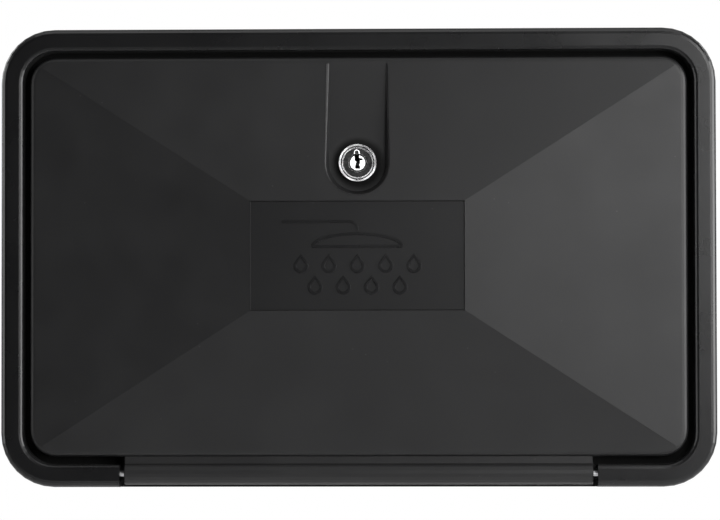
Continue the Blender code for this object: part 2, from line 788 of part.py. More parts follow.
def hip_angle(half_x, half_z, radius):
    """Angle in a rounded corner where the hip between two facets crosses it."""
    run_x = DOOR_HALF_X - DOOR_FILLET - FIELD_WIDTH / 2
    run_z = DOOR_HALF_Z - DOOR_FILLET - FIELD_HEIGHT / 2
    hip = Vector((run_x, run_z)).normalized()
    start = Vector((FIELD_WIDTH / 2 - half_x + radius, FIELD_HEIGHT / 2 - half_z + radius))
    along = start.dot(hip)
    reach = -along + math.sqrt(along * along - start.length_squared + radius * radius)
    point = start + hip * reach
    return math.degrees(math.atan2(point.y, point.x))


def facets(bm, hips, field, loop):
    """Planar facets between the field's corners and the outline, one on each side."""
    for start, end in ((3, 0), (0, 1), (1, 2), (2, 3)):
        face = [loop[hips[start]]]
        index = hips[start]
        while index != hips[end]:
            index = (index + 1) % len(loop)
            face.append(loop[index])
        face += [field[end], field[start]]
        bm.faces.new(face)


def dome(bm, half_x, half_z, radius, shift):
    """Facets, lowered by shift; returns the angles, depths and loop of the edge and the field's."""
    hip = hip_angle(half_x, half_z, radius)
    angles = corner_angles(extra=hip)
    outline = rounded_outline(half_x, half_z, radius, angles)
    depths = [-(DOOR_EDGE_PROUD + facet_height(x, z) - shift) for x, z in outline]
    loop = add_ring(bm, outline, depths, DOOR_Z)
    place = angles.index(hip)
    quarter = len(angles)
    hips = [place, 2 * quarter - 1 - place, 2 * quarter + place, 4 * quarter - 1 - place]
    half_w = FIELD_WIDTH / 2
    half_h = FIELD_HEIGHT / 2
    corners = [(half_w, half_h), (-half_w, half_h), (-half_w, -half_h), (half_w, -half_h)]
    field = add_ring(bm, corners, -(DOOR_EDGE_PROUD + DOOR_RISE - shift), DOOR_Z)
    facets(bm, hips, field, loop)
    return angles, depths, loop, corners, field


def door_outer():
    """Solid under the door's outer surface, closed at the back of its skirt."""
    bm = bmesh.new()
    face_x = DOOR_HALF_X - DOOR_FILLET
    face_z = DOOR_HALF_Z - DOOR_FILLET
    face_r = DOOR_CORNER - DOOR_FILLET
    angles, depths, loop, corners, field = dome(bm, face_x, face_z, face_r, 0.0)
    sunk = -(DOOR_EDGE_PROUD + DOOR_RISE - FIELD_SUNK)
    inset = [(x - math.copysign(FIELD_STEP, x), z - math.copysign(FIELD_STEP, z)) for x, z in corners]
    floor = add_ring(bm, inset, sunk, DOOR_Z)
    bridge(bm, field, floor)
    bm.faces.new(floor)
    for step in range(1, EDGE_STEPS + 1):
        angle = math.pi / 2 * step / EDGE_STEPS
        out = DOOR_FILLET * math.sin(angle)
        drop = DOOR_FILLET * (1 - math.cos(angle))
        outline = rounded_outline(face_x + out, face_z + out, face_r + out, angles)
        ring = add_ring(bm, outline, [depth + drop for depth in depths], DOOR_Z)
        bridge(bm, loop, ring)
        loop = ring
    outline = rounded_outline(DOOR_HALF_X, DOOR_HALF_Z, DOOR_CORNER, angles)
    back = add_ring(bm, outline, -DOOR_SKIRT_END, DOOR_Z)
    bridge(bm, loop, back)
    bm.faces.new(back)
    return mesh_from(bm, "door_outer")


def door_cavity():
    """The hollow behind the door: the same dome, one shell thickness inside."""
    bm = bmesh.new()
    half_x = DOOR_HALF_X - DOOR_SHELL
    half_z = DOOR_HALF_Z - DOOR_SHELL
    radius = DOOR_CORNER - DOOR_SHELL
    angles, _, loop, _, field = dome(bm, half_x, half_z, radius, DOOR_SHELL)
    bm.faces.new(field)
    back = add_ring(bm, rounded_outline(half_x, half_z, radius, angles), OVERRUN, DOOR_Z)
    bridge(bm, loop, back)
    bm.faces.new(back)
    return mesh_from(bm, "door_cavity")


def recess_outline(half_width, top):
    """U shape round the lock, open towards the door's top edge."""
    bottom = arc((0.0, LOCK_Z), half_width, 180.0, 360.0, ARC_STEPS)
    return bottom + [(half_width, top), (-half_width, top)]


def recess_solid(half_width, floor_y, top):
    """U shape with drafted walls that widens towards the front."""
    front = -(DOOR_EDGE_PROUD + DOOR_RISE + OVERRUN)
    spread = (floor_y - front) * math.tan(math.radians(RECESS_DRAFT_DEG))
    bm = bmesh.new()
    back_loop = add_ring(bm, recess_outline(half_width, top), floor_y)
    front_loop = add_ring(bm, recess_outline(half_width + spread, top), front)
    bridge(bm, back_loop, front_loop)
    bm.faces.new(back_loop)
    bm.faces.new(front_loop)
    return mesh_from(bm, "recess")


def double_flat(radius, flats):
    """Circle with two upright flats."""
    half = flats / 2
    clip = math.degrees(math.acos(half / radius))
    points = arc((0.0, 0.0), radius, clip, 180.0 - clip, SMALL_STEPS)
    points += arc((0.0, 0.0), radius, 180.0 + clip, 360.0 - clip, SMALL_STEPS)
    return [(x, z + LOCK_Z) for x, z in points]


def rib_cutters(cavity):
    """Stiffening ribs: they stay where the cavity is cut away less."""
    front = -2 * (DOOR_EDGE_PROUD + DOOR_RISE)
    half = RIB_THICKNESS / 2
    bars = []
    for share in RIB_SHARES:
        x = share * RIB_PITCH
        bar = block((x - half, front, -FLANGE_HALF_Z), (x + half, -RIB_PLANE, FLANGE_HALF_Z))
        bars.append((bar, Matrix.Identity(4)))
    cut(cavity, cutter("door_ribs_upright", merged(bars)))
    level = block(
        (-FLANGE_HALF_X, front, DOOR_Z - half),
        (FLANGE_HALF_X, -RIB_PLANE + GAP, DOOR_Z + half),
    )
    cut(cavity, cutter("door_rib_level", level))


def build_door():
    door = piece("door", door_outer(), BLACK_ABS)
    cavity = cutter("door_cavity_cutter", door_cavity())
    rib_cutters(cavity)
    top = DOOR_TOP_Z + RECESS_RUNOUT
    cup = recess_solid(RECESS_RADIUS + DOOR_SHELL, DOOR_INNER_FLAT, top)
    cut(cavity, cutter("lock_cup", cup))
    cut(door, cavity)
    cut(door, cutter("recess_cutter", recess_solid(RECESS_RADIUS, LOCK_SEAT_Y, top)))
    lock_hole = prism(
        double_flat(LOCK_BODY_RADIUS + GAP, LOCK_BODY_FLATS + 2 * GAP),
        -DOOR_EDGE_PROUD - OVERRUN,
        DOOR_INNER_FLAT + OVERRUN,
    )
    cut(door, cutter("lock_hole_cutter", lock_hole))
    web_half = HINGE_BARREL / 2 - GAP
    web = block(
        (-web_half, -WEB_FRONT, HINGE_Z),
        (web_half, -WEB_BACK, DOOR_BOTTOM_Z + DOOR_SHELL / 2),
    )
    join(door, cutter("hinge_web", web))
    half = HINGE_BARREL / 2
    barrel = rod(HINGE_BARREL_RADIUS, -half, half, ROUND_STEPS, HINGE_CHAMFER)
    join(door, cutter("hinge_barrel", barrel, (0.0, HINGE_Y, HINGE_Z), TOWARDS_RIGHT))
    bore = rod(PIN_RADIUS + GAP, -HINGE_BARREL, HINGE_BARREL, SMALL_STEPS)
    cut(door, cutter("hinge_bore_cutter", bore, (0.0, HINGE_Y, HINGE_Z), TOWARDS_RIGHT))
    return door


# Cam lock

def build_lock_barrel():
    """Head with two raised rings round a sunk annulus, on a body with two flats."""
    face = LOCK_HEAD_THICKNESS
    groove = face - LOCK_GROOVE_DEPTH
    annulus = PLUG_RADIUS + LOCK_ANNULUS_WIDTH
    sunk = face - LOCK_ANNULUS_DEPTH
    rim = LOCK_HEAD_RADIUS
    ring = rim - LOCK_OUTER_RING
    second = ring - LOCK_GROOVE_WIDTH
    profile = [
        (rim, GAP),
        (rim, face - LOCK_HEAD_CHAMFER),
        (rim - LOCK_HEAD_CHAMFER, face),
        (ring, face),
        (ring, groove),
        (second, groove),
        (second, face),
        (annulus, face),
        (annulus, sunk),
    ]
    at = (0.0, LOCK_SEAT_Y, LOCK_Z)
    barrel = piece("lock_barrel", turned(profile, FINE_STEPS), CHROME, at, TOWARDS_FRONT)
    body = prism(
        double_flat(LOCK_BODY_RADIUS, LOCK_BODY_FLATS),
        LOCK_SEAT_Y - 2 * GAP,
        LOCK_BACK_Y,
    )
    join(barrel, cutter("lock_body", body))
    bore = rod(PLUG_RADIUS + GAP, -LOCK_BODY_LENGTH - OVERRUN, face + OVERRUN)
    cut(barrel, cutter("lock_bore_cutter", bore, at, TOWARDS_FRONT))
    notch_half = INDEX_NOTCH_WIDTH / 2
    notch = block(
        (-notch_half, LOCK_SEAT_Y - face - OVERRUN, LOCK_Z),
        (notch_half, LOCK_SEAT_Y - sunk + INDEX_NOTCH_DEPTH, LOCK_Z + INDEX_NOTCH_REACH),
    )
    cut(barrel, cutter("index_notch_cutter", notch))
    return barrel


def keyway_outline():
    """Keyway seen from the front, with a ward on each side."""
    half = KEYWAY_WIDTH / 2
    reach = KEYWAY_HEIGHT / 2
    ward = half * KEYWAY_WARD_SHARE
    step = reach / 3
    left = [(-half, -reach), (-half + ward, -step), (-half, step), (-half, reach)]
    right = [(half, reach), (half - ward, step), (half, -step), (half, -reach)]
    return [(x, -z + LOCK_Z) for x, z in left] + [(x, -z + LOCK_Z) for x, z in right]


def build_lock_plug():
    front = LOCK_HEAD_THICKNESS - PLUG_SUNK
    shoulder = -(CAM_Y - GAP - LOCK_SEAT_Y)
    tail = shoulder - CAM_THICKNESS - GAP
    hole = CAM_SCREW_RADIUS + GAP
    profile = [
        (hole, tail + CAM_SCREW_LENGTH + GAP),
        (hole, tail),
        (PLUG_TAIL_RADIUS, tail),
        (PLUG_TAIL_RADIUS, shoulder),
        (PLUG_RADIUS, shoulder),
        (PLUG_RADIUS, front - PLUG_SUNK),
        (PLUG_RADIUS - PLUG_SUNK, front),
    ]
    at = (0.0, LOCK_SEAT_Y, LOCK_Z)
    plug = piece("lock_plug", turned(profile, ROUND_STEPS), CHROME, at, TOWARDS_FRONT)
    start = LOCK_SEAT_Y - LOCK_HEAD_THICKNESS - OVERRUN
    slot = prism(keyway_outline(), start, LOCK_SEAT_Y + KEYWAY_DEPTH)
    cut(plug, cutter("keyway_cutter", slot))
    return plug


def build_lock_nut():
    return piece(
        "lock_nut",
        hex_nut(LOCK_NUT_FLATS, LOCK_BODY_RADIUS + GAP, LOCK_NUT_THICKNESS),
        ZINC,
        (0.0, DOOR_INNER_FLAT + GAP, LOCK_Z),
        TOWARDS_BACK,
    )


def build_cam():
    """Tongue with a round hub, clamped on the plug's tail; it points to the right when unlocked."""
    half = CAM_WIDTH / 2
    start = math.degrees(math.asin(half / CAM_HUB_RADIUS))
    outline = arc((0.0, LOCK_Z), CAM_HUB_RADIUS, start, 360.0 - start, ARC_STEPS)
    tip = CAM_TIP_CORNER
    outline += arc((CAM_REACH - tip, LOCK_Z - half + tip), tip, 270.0, 360.0, EDGE_STEPS)
    outline += arc((CAM_REACH - tip, LOCK_Z + half - tip), tip, 0.0, 90.0, EDGE_STEPS)
    cam = piece("lock_cam", prism(outline, CAM_Y, CAM_Y + CAM_THICKNESS), ZINC)
    hole = rod(PLUG_TAIL_RADIUS + GAP, -OVERRUN, CAM_THICKNESS + OVERRUN, SMALL_STEPS)
    cut(cam, cutter("cam_hole_cutter", hole, (0.0, CAM_Y, LOCK_Z), TOWARDS_BACK))
    return cam


def screw_mesh(shank_radius, head_radius, head_height, length):
    """Pan-head screw: its head sits on height 0 and the shank goes down; a slot crosses the head."""
    profile = [
        (shank_radius * SCREW_POINT_SHARE, -length),
        (shank_radius, -length + shank_radius),
        (shank_radius, 0.0),
        (head_radius, 0.0),
        (head_radius, head_height * SCREW_EDGE_SHARE),
        (head_radius * SCREW_CROWN_SHARE, head_height),
    ]
    return turned(profile, SMALL_STEPS)


def add_screw(name, shank_radius, head_radius, head_height, length, at, turn):
    screw = piece(name, screw_mesh(shank_radius, head_radius, head_height, length), ZINC, at, turn)
    half = SCREW_SLOT / 2
    reach = head_radius + OVERRUN
    slot = block((-half, -reach, head_height / 2), (half, reach, head_height + OVERRUN))
    cut(screw, cutter(name + "_slot_cutter", slot, at, turn))
    return screw


def build_lock(door_axis):
    lock_axis = axis_empty("lock_axis", (0.0, LOCK_SEAT_Y, LOCK_Z))
    carry(door_axis, lock_axis, build_lock_barrel(), build_lock_nut())
    screw = add_screw(
        "cam_screw",
        CAM_SCREW_RADIUS,
        CAM_SCREW_HEAD,
        CAM_SCREW_HEAD_HEIGHT,
        CAM_SCREW_LENGTH,
        (0.0, CAM_Y + CAM_THICKNESS + GAP, LOCK_Z),
        TOWARDS_BACK,
    )
    carry(lock_axis, build_lock_plug(), build_cam(), screw)


# Faucet

def build_faucet_body():
    """One casting: bar, two towers with their escutcheons, and the outlet underneath."""
    bar_half = INLET_PITCH / 2 + TOWER_RADIUS + BAR_END
    body = piece(
        "faucet_body",
        rod(BAR_RADIUS, -bar_half, bar_half, ROUND_STEPS, BAR_CHAMFER),
        CHROME,
        (FAUCET_X, BAR_Y, FAUCET_Z),
        TOWARDS_RIGHT,
    )
    foot = BACK_WALL_Y - GAP
    profile = [
        (ESCUTCHEON_RADIUS, 0.0),
        (ESCUTCHEON_RADIUS, ESCUTCHEON_THICKNESS - ESCUTCHEON_CHAMFER),
        (ESCUTCHEON_RADIUS - ESCUTCHEON_CHAMFER, ESCUTCHEON_THICKNESS),
        (TOWER_RADIUS, ESCUTCHEON_THICKNESS),
        (TOWER_RADIUS, TOWER_LENGTH - TOWER_CHAMFER),
        (TOWER_RADIUS - TOWER_CHAMFER, TOWER_LENGTH),
    ]
    for name, x in INLETS:
        tower = cutter(name + "_tower", turned(profile), (x, foot, FAUCET_Z), TOWARDS_FRONT)
        join(body, tower)
    drop = BAR_RADIUS + OUTLET_LENGTH
    outlet = rod(OUTLET_RADIUS, 0.0, drop, ROUND_STEPS, OUTLET_CHAMFER)
    join(body, cutter("outlet_boss", outlet, (FAUCET_X, BAR_Y, FAUCET_Z), TOWARDS_GROUND))
    for name, x in INLETS:
        seat = rod(SHANK_RADIUS + GAP, -OVERRUN, SHANK_SEAT_DEPTH)
        cut(body, cutter(name + "_shank_seat", seat, (x, foot, FAUCET_Z), TOWARDS_FRONT))
        pocket = rod(BONNET_RADIUS + GAP, -OVERRUN, BONNET_SEAT_DEPTH)
        place = (x, TOWER_FRONT_Y, FAUCET_Z)
        cut(body, cutter(name + "_bonnet_pocket", pocket, place, TOWARDS_BACK))
    return body


def build_inlets():
    """Shanks through the back wall, each held by a washer and a nut."""
    start = BACK_WALL_Y - SHANK_SEAT_DEPTH + GAP
    end = BACK_WALL_Y + WALL + SHANK_REACH
    washer_y = BACK_WALL_Y + WALL + GAP
    nut_y = washer_y + WASHER_THICKNESS + GAP
    for name, x in INLETS:
        piece(
            name + "_shank",
            tube(SHANK_RADIUS, SHANK_BORE, 0.0, end - start, ROUND_STEPS, THREAD_CHAMFER),
            BRASS,
            (x, start, FAUCET_Z),
            TOWARDS_BACK,
        )
        piece(
            name + "_shank_washer",
            tube(WASHER_RADIUS, SHANK_RADIUS + GAP, 0.0, WASHER_THICKNESS),
            BLACK_RUBBER,
            (x, washer_y, FAUCET_Z),
            TOWARDS_BACK,
        )
        piece(
            name + "_shank_nut",
            hex_nut(NUT_FLATS, SHANK_RADIUS + GAP, NUT_THICKNESS),
            WHITE_NYLON,
            (x, nut_y, FAUCET_Z),
            TOWARDS_BACK,
        )


def bonnet_mesh():
    """Hexagon head in front of the tower and a sleeve in its pocket."""
    corner = BONNET_FLATS / math.sqrt(3.0)
    bore = STEM_RADIUS + GAP
    profile = [
        (bore, -BONNET_SLEEVE),
        (BONNET_RADIUS, -BONNET_SLEEVE),
        (BONNET_RADIUS, GAP),
        (corner, GAP),
        (corner, BONNET_HEAD - NUT_CHAMFER),
        (corner - NUT_CHAMFER, BONNET_HEAD + GAP),
        (bore, BONNET_HEAD + GAP),
    ]
    return turned(profile, HEX_STEPS, closed=True, shape=hexagon(BONNET_FLATS, (3, 4, 5)))


def stem_mesh():
    """Spindle with its disc at the bottom of the bonnet's pocket, drilled for the knob's screw."""
    low = -BONNET_SEAT_DEPTH + RUNNING_GAP
    disc_top = low + STEM_DISC_THICKNESS
    hole = KNOB_SCREW_RADIUS + GAP
    profile = [
        (STEM_DISC_RADIUS, low),
        (STEM_DISC_RADIUS, disc_top),
        (STEM_RADIUS, disc_top),
        (STEM_RADIUS, STEM_FRONT - THREAD_CHAMFER),
        (STEM_RADIUS - THREAD_CHAMFER, STEM_FRONT),
        (hole, STEM_FRONT),
        (hole, STEM_FRONT - KNOB_SCREW_HOLE),
    ]
    return turned(profile, SMALL_STEPS)


def knob_mesh():
    """Lobed knob, hollow behind, with a boss round the stem and a seat for the cap in front."""
    face = KNOB_LENGTH
    seat = face - CAP_THICKNESS - 2 * GAP
    stem_end = STEM_FRONT - (TOWER_FRONT_Y - KNOB_BACK_Y) + GAP
    screw_hole = KNOB_SCREW_RADIUS + GAP
    head_hole = KNOB_SCREW_HEAD + GAP
    shelf = stem_end + KNOB_SHELF
    bore = STEM_RADIUS + GAP
    boss = bore + KNOB_BOSS_WALL
    hollow = KNOB_RADIUS - KNOB_LOBE - KNOB_WALL
    roof = stem_end - KNOB_ROOF_DROP
    profile = [
        (screw_hole, shelf),
        (head_hole, shelf),
        (head_hole, seat),
        (CAP_RADIUS + GAP, seat),
        (CAP_RADIUS + GAP, face),
        (KNOB_RADIUS * KNOB_FACE_SHARE, face),
        (KNOB_RADIUS * KNOB_CROWN_SHARE, face - KNOB_CROWN_DROP),
        (KNOB_RADIUS * KNOB_SHOULDER_SHARE, face - KNOB_SHOULDER_DROP),
        (KNOB_RADIUS, 0.0),
        (hollow, 0.0),
        (hollow, roof),
        (boss, roof),
        (boss, 0.0),
        (bore, 0.0),
        (bore, stem_end),
        (screw_hole, stem_end),
    ]

    def lobes(angle, radius, index):
        if 6 <= index <= 8:
            return radius + KNOB_LOBE * (math.cos(KNOB_LOBES * angle) - 1.0) / 2
        return radius

    return turned(profile, FINE_STEPS, closed=True, shape=lobes)


def build_valves():
    """Bonnet, stem, knob, screw and index cap for each side."""
    seat = KNOB_FRONT_Y + CAP_THICKNESS + 2 * GAP
    shelf_y = TOWER_FRONT_Y - STEM_FRONT - GAP - KNOB_SHELF
    for name, x in INLETS:
        tint = RED_CAP if name == "hot" else BLUE_CAP
        front = (x, TOWER_FRONT_Y, FAUCET_Z)
        piece(name + "_bonnet", bonnet_mesh(), BRASS, front, TOWARDS_FRONT)
        axis = axis_empty(name + "_knob_axis", front)
        stem = piece(name + "_stem", stem_mesh(), BRASS, front, TOWARDS_FRONT)
        knob = piece(name + "_knob", knob_mesh(), CHROME, (x, KNOB_BACK_Y, FAUCET_Z), TOWARDS_FRONT)
        screw = add_screw(
            name + "_knob_screw",
            KNOB_SCREW_RADIUS,
            KNOB_SCREW_HEAD,
            shelf_y - seat - 2 * RUNNING_GAP,
            KNOB_SCREW_LENGTH,
            (x, shelf_y - GAP, FAUCET_Z),
            TOWARDS_FRONT,
        )
        cap = piece(
            name + "_index_cap",
            rod(CAP_RADIUS, 0.0, CAP_THICKNESS, ROUND_STEPS, THREAD_CHAMFER),
            tint,
            (x, seat - GAP, FAUCET_Z),
            TOWARDS_FRONT,
        )
        carry(axis, stem, knob, screw, cap)


def build_vacuum_breaker():
    """Collar on the outlet with air slots, then the male thread for the hose."""
    top = FAUCET_Z - BAR_RADIUS - OUTLET_LENGTH + BREAKER_SOCKET
    socket = OUTLET_RADIUS + GAP
    body_end = BREAKER_LENGTH
    end = body_end + HOSE_THREAD_LENGTH
    floor = BREAKER_SOCKET + GAP
    profile = [
        (socket, 0.0),
        (BREAKER_RADIUS - THREAD_CHAMFER, 0.0),
        (BREAKER_RADIUS, THREAD_CHAMFER),
        (BREAKER_RADIUS, body_end - BREAKER_SHOULDER),
        (BREAKER_RADIUS - BREAKER_SHOULDER, body_end),
        (SHANK_RADIUS, body_end),
        (SHANK_RADIUS, end - THREAD_CHAMFER),
        (SHANK_RADIUS - THREAD_CHAMFER, end),
        (SHANK_BORE, end),
        (SHANK_BORE, floor),
        (socket, floor),
    ]
    breaker = piece(
        "vacuum_breaker",
        turned(profile, ROUND_STEPS, closed=True),
        CHROME,
        (FAUCET_X, BAR_Y, top),
        TOWARDS_GROUND,
    )
    slots = []
    for index in range(BREAKER_SLOTS):
        angle = math.tau * (index + 0.5) / BREAKER_SLOTS
        slot = block(
            (BREAKER_RADIUS - BREAKER_SLOT_DEPTH, -BREAKER_SLOT_WIDTH / 2, BREAKER_SLOT_START),
            (BREAKER_RADIUS + OVERRUN, BREAKER_SLOT_WIDTH / 2, BREAKER_SLOT_END),
        )
        slots.append((slot, Matrix.Rotation(angle, 4, "Z")))
    cut(
        breaker,
        cutter("breaker_slot_cutter", merged(slots), breaker.location, TOWARDS_GROUND),
    )
    return breaker


# Hand shower

def handle_profile():
    """Radius along the handle, from its threaded tail to the neck at the head."""
    length = HEAD_X - SPRAY_RADIUS - NECK_WALL - HANDLE_TAIL_X
    thread = TAIL_THREAD_LENGTH
    grip = length - thread
    return [
        (SHANK_BORE, TAIL_BORE_DEPTH),
        (SHANK_BORE, 0.0),
        (TAIL_THREAD_RADIUS - THREAD_CHAMFER, 0.0),
        (TAIL_THREAD_RADIUS, THREAD_CHAMFER),
        (TAIL_THREAD_RADIUS, thread),
        (HANDLE_RADIUS, thread),
        (HANDLE_RADIUS, thread + grip * HANDLE_COLLAR_SHARE),
        (HANDLE_WAIST_RADIUS, thread + grip * HANDLE_WAIST_SHARE),
        (HANDLE_RADIUS, thread + grip * HANDLE_GRIP_START),
        (HANDLE_RADIUS, thread + grip * HANDLE_GRIP_END),
        ((HANDLE_RADIUS + HANDLE_NECK_RADIUS) / 2, thread + grip * HANDLE_TAPER_SHARE),
        (HANDLE_NECK_RADIUS, thread + grip * HANDLE_NECK_SHARE),
        (HANDLE_NECK_RADIUS, length),
    ]


def build_hand_shower():
    """Body, spray plate, bezel and the thumb slide; the spray looks to the front."""
    body = piece(
        "hand_shower_body",
        turned(handle_profile()),
        BLACK_ABS,
        (HANDLE_TAIL_X, SHOWER_Y, SHOWER_Z),
        TOWARDS_RIGHT,
    )
    back = HEAD_DEPTH * HEAD_BACK_SHARE
    front = HEAD_DEPTH - back
    seat = front - SPRAY_THICKNESS
    step = front - BEZEL_THICKNESS
    hole = SPRAY_RADIUS + GAP
    rim = hole + BEZEL_WIDTH
    profile = [(HEAD_RADIUS * share, -back * depth) for share, depth in HEAD_BACK_PROFILE]
    profile += [
        (HEAD_RADIUS, step - TOWER_CHAMFER),
        (rim, step),
        (hole, step),
        (hole, seat),
    ]
    place = (HEAD_X, SHOWER_Y, SHOWER_Z)
    join(body, cutter("shower_head", turned(profile), place, TOWARDS_FRONT))
    spray_plate(place, seat + GAP)
    piece(
        "spray_bezel",
        tube(rim, hole, step + GAP, front + GAP, ROUND_STEPS, THREAD_CHAMFER),
        CHROME,
        place,
        TOWARDS_FRONT,
    )
    build_switch(body)


def spray_plate(place, seat):
    """Disc with rings of small nozzles."""
    top = seat + SPRAY_THICKNESS - GAP
    plate = piece("spray_plate", rod(SPRAY_RADIUS, seat, top), WHITE_NYLON, place, TOWARDS_FRONT)
    tip = NOZZLE_RADIUS * NOZZLE_TIP_SHARE
    profile = [(NOZZLE_RADIUS, top - NOZZLE_PROUD), (tip, top + NOZZLE_PROUD)]
    nozzle = turned(profile, NOZZLE_STEPS)
    nozzles = [(nozzle, Matrix.Identity(4))]
    for count, share in NOZZLE_RINGS:
        for index in range(count):
            angle = math.tau * index / count
            reach = SPRAY_RADIUS * share
            at = Matrix.Translation((reach * math.cos(angle), reach * math.sin(angle), 0.0))
            nozzles.append((nozzle, at))
    join(plate, cutter("nozzles", merged(nozzles), place, TOWARDS_FRONT))


def build_switch(body):
    """Pocket in the handle's front and the slide that moves in it."""
    front = SHOWER_Y - HANDLE_RADIUS
    floor = front + SWITCH_DEPTH
    half = SWITCH_WIDTH / 2
    start = SWITCH_X - SWITCH_LENGTH / 2
    end = SWITCH_X + SWITCH_LENGTH / 2
    pocket = block(
        (start - GAP, front - OVERRUN, SHOWER_Z - half - GAP),
        (end + SWITCH_TRAVEL + GAP, floor, SHOWER_Z + half + GAP),
    )
    cut(body, cutter("switch_pocket", pocket))
    top = front - SWITCH_PROUD
    low = floor - GAP
    valley = top + SWITCH_PROUD / 3
    tooth = SWITCH_LENGTH / SWITCH_TEETH
    rise, crest, fall = TOOTH_SHARES
    outline = [(start, low), (end, low), (end, valley)]
    for index in range(SWITCH_TEETH):
        outline.append((end - tooth * (index + rise), top))
        outline.append((end - tooth * (index + crest), top))
        outline.append((end - tooth * (index + fall), valley))
    outline.append((start, valley))
    lower = [(x - SWITCH_X, y - front, -half) for x, y in outline]
    upper = [(x - SWITCH_X, y - front, half) for x, y in outline]
    piece("flow_switch", drawn(lower, upper), CHROME, (SWITCH_X, front, SHOWER_Z))


def build_clip():
    """Base plate, neck and a C that grips the handle; the C opens to the front."""
    inner = HANDLE_RADIUS + GAP
    outer = inner + CLIP_WALL
    half_mouth = CLIP_MOUTH_DEG / 2
    centre = (SHOWER_Y, SHOWER_Z)
    outline = arc(centre, outer, -180.0 + half_mouth, 180.0 - half_mouth, ARC_STEPS)
    outline += arc(centre, inner, 180.0 - half_mouth, -180.0 + half_mouth, ARC_STEPS)
    half = CLIP_WIDTH / 2
    clip = piece("shower_clip", drawn_along_x(outline, CLIP_X - half, CLIP_X + half), BLACK_ABS)
    base_y = BACK_WALL_Y - GAP
    plate_y = base_y - CLIP_BASE_THICKNESS
    neck = block(
        (CLIP_X - half + GAP, SHOWER_Y + inner + CLIP_WALL / 2, SHOWER_Z - CLIP_NECK / 2),
        (CLIP_X + half - GAP, plate_y + CLIP_BASE_THICKNESS / 2, SHOWER_Z + CLIP_NECK / 2),
    )
    join(clip, cutter("clip_neck", neck))
    base = block(
        (CLIP_X - half - GAP, plate_y, SHOWER_Z - CLIP_BASE_HEIGHT / 2),
        (CLIP_X + half + GAP, base_y, SHOWER_Z + CLIP_BASE_HEIGHT / 2),
    )
    join(clip, cutter("clip_base", base))
    for side, word in ((1, "upper"), (-1, "lower")):
        z = SHOWER_Z + side * CLIP_SCREW_PITCH / 2
        depth = CLIP_BASE_THICKNESS + OVERRUN
        hole = rod(CLIP_SCREW_RADIUS + GAP, -OVERRUN, depth, SMALL_STEPS)
        at = (CLIP_X, plate_y, z)
        cut(clip, cutter("clip_hole_" + word, hole, at, TOWARDS_BACK))
        add_screw(
            "clip_screw_" + word,
            CLIP_SCREW_RADIUS,
            CLIP_SCREW_HEAD,
            CLIP_SCREW_HEAD_HEIGHT,
            CLIP_SCREW_LENGTH,
            (CLIP_X, plate_y - GAP, z),
            TOWARDS_FRONT,
        )


def build():
    clear_scene()
    build_housing()
    build_keeper()
    build_seal()
    build_pin()
    door_axis = axis_empty("door_axis", (0.0, HINGE_Y, HINGE_Z))
    carry(door_axis, build_door())
    build_lock(door_axis)
    build_faucet_body()
    build_inlets()
    build_valves()
    build_vacuum_breaker()
    build_hand_shower()
    build_clip()


build()
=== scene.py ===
# Looks of the recessed exterior shower box: finishes, the sign on the door, threads and lights.
#
# Everything is in metres in the part's own frame: -Y is the front, +Z is up, +X is to the right of
# someone who faces the door. Fine pieces take their places from the boxes of the fixed nodes.

import math

import bmesh
import bpy
from mathutils import Matrix, Vector


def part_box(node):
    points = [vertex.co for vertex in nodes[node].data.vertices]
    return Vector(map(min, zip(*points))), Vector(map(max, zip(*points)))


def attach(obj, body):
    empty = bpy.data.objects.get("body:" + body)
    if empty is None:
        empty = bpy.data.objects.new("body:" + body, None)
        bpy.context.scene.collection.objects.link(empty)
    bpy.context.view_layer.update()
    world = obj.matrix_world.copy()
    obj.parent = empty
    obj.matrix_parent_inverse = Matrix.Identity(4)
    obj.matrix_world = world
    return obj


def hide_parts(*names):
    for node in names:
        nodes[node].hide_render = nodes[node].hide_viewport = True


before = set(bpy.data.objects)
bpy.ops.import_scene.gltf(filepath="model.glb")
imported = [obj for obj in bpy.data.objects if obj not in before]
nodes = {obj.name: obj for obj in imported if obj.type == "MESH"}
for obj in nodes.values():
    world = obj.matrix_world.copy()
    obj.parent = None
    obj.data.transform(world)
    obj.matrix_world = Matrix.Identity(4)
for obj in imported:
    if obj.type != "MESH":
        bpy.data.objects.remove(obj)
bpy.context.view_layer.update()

# The faucet's sides, the gap of a fit, a depth behind the whole part, the distance within which points
# are welded, the least divisor, and the angle over which an edge stays crisp
SIDES = ("hot", "cold")
FIT_GAP = 0.0003
FAR_BACK = 1.0
WELD = 1e-7
TINY = 1e-6
SMOOTH_DEG = 35.0

# The camera of the photograph
CAMERA_PLACE = (0.0432, -1.6000, -0.0481)
CAMERA_YAW_DEG = 1.524
CAMERA_PITCH_DEG = 1.689
CAMERA_ROLL_DEG = -0.096
LENS_MM = 169.2
SENSOR_MM = 36.0

# Studio: the floor, and the light of the world and of the room that gloss mirrors
FLOOR_Z = -0.42
FLOOR_HALF = 2.4
FLOOR_FADE = (0.55, 1.50)
FLOOR_ROUGHNESS = 0.9
FLOOR_CLOUD = 0.4
FLOOR_DARK = (0.86, 0.86, 0.86)
FLOOR_PALE = (0.90, 0.90, 0.90)
WHITE = (1.0, 1.0, 1.0, 1.0)
WORLD_LIGHT = 0.02
ROOM_LIGHT = 0.35
ROOM_EDGE = (-0.80, -0.55)
ROOM_LOW_EDGE = (-0.24, -0.12)
ROOM_LOW_SHARE = 0.65

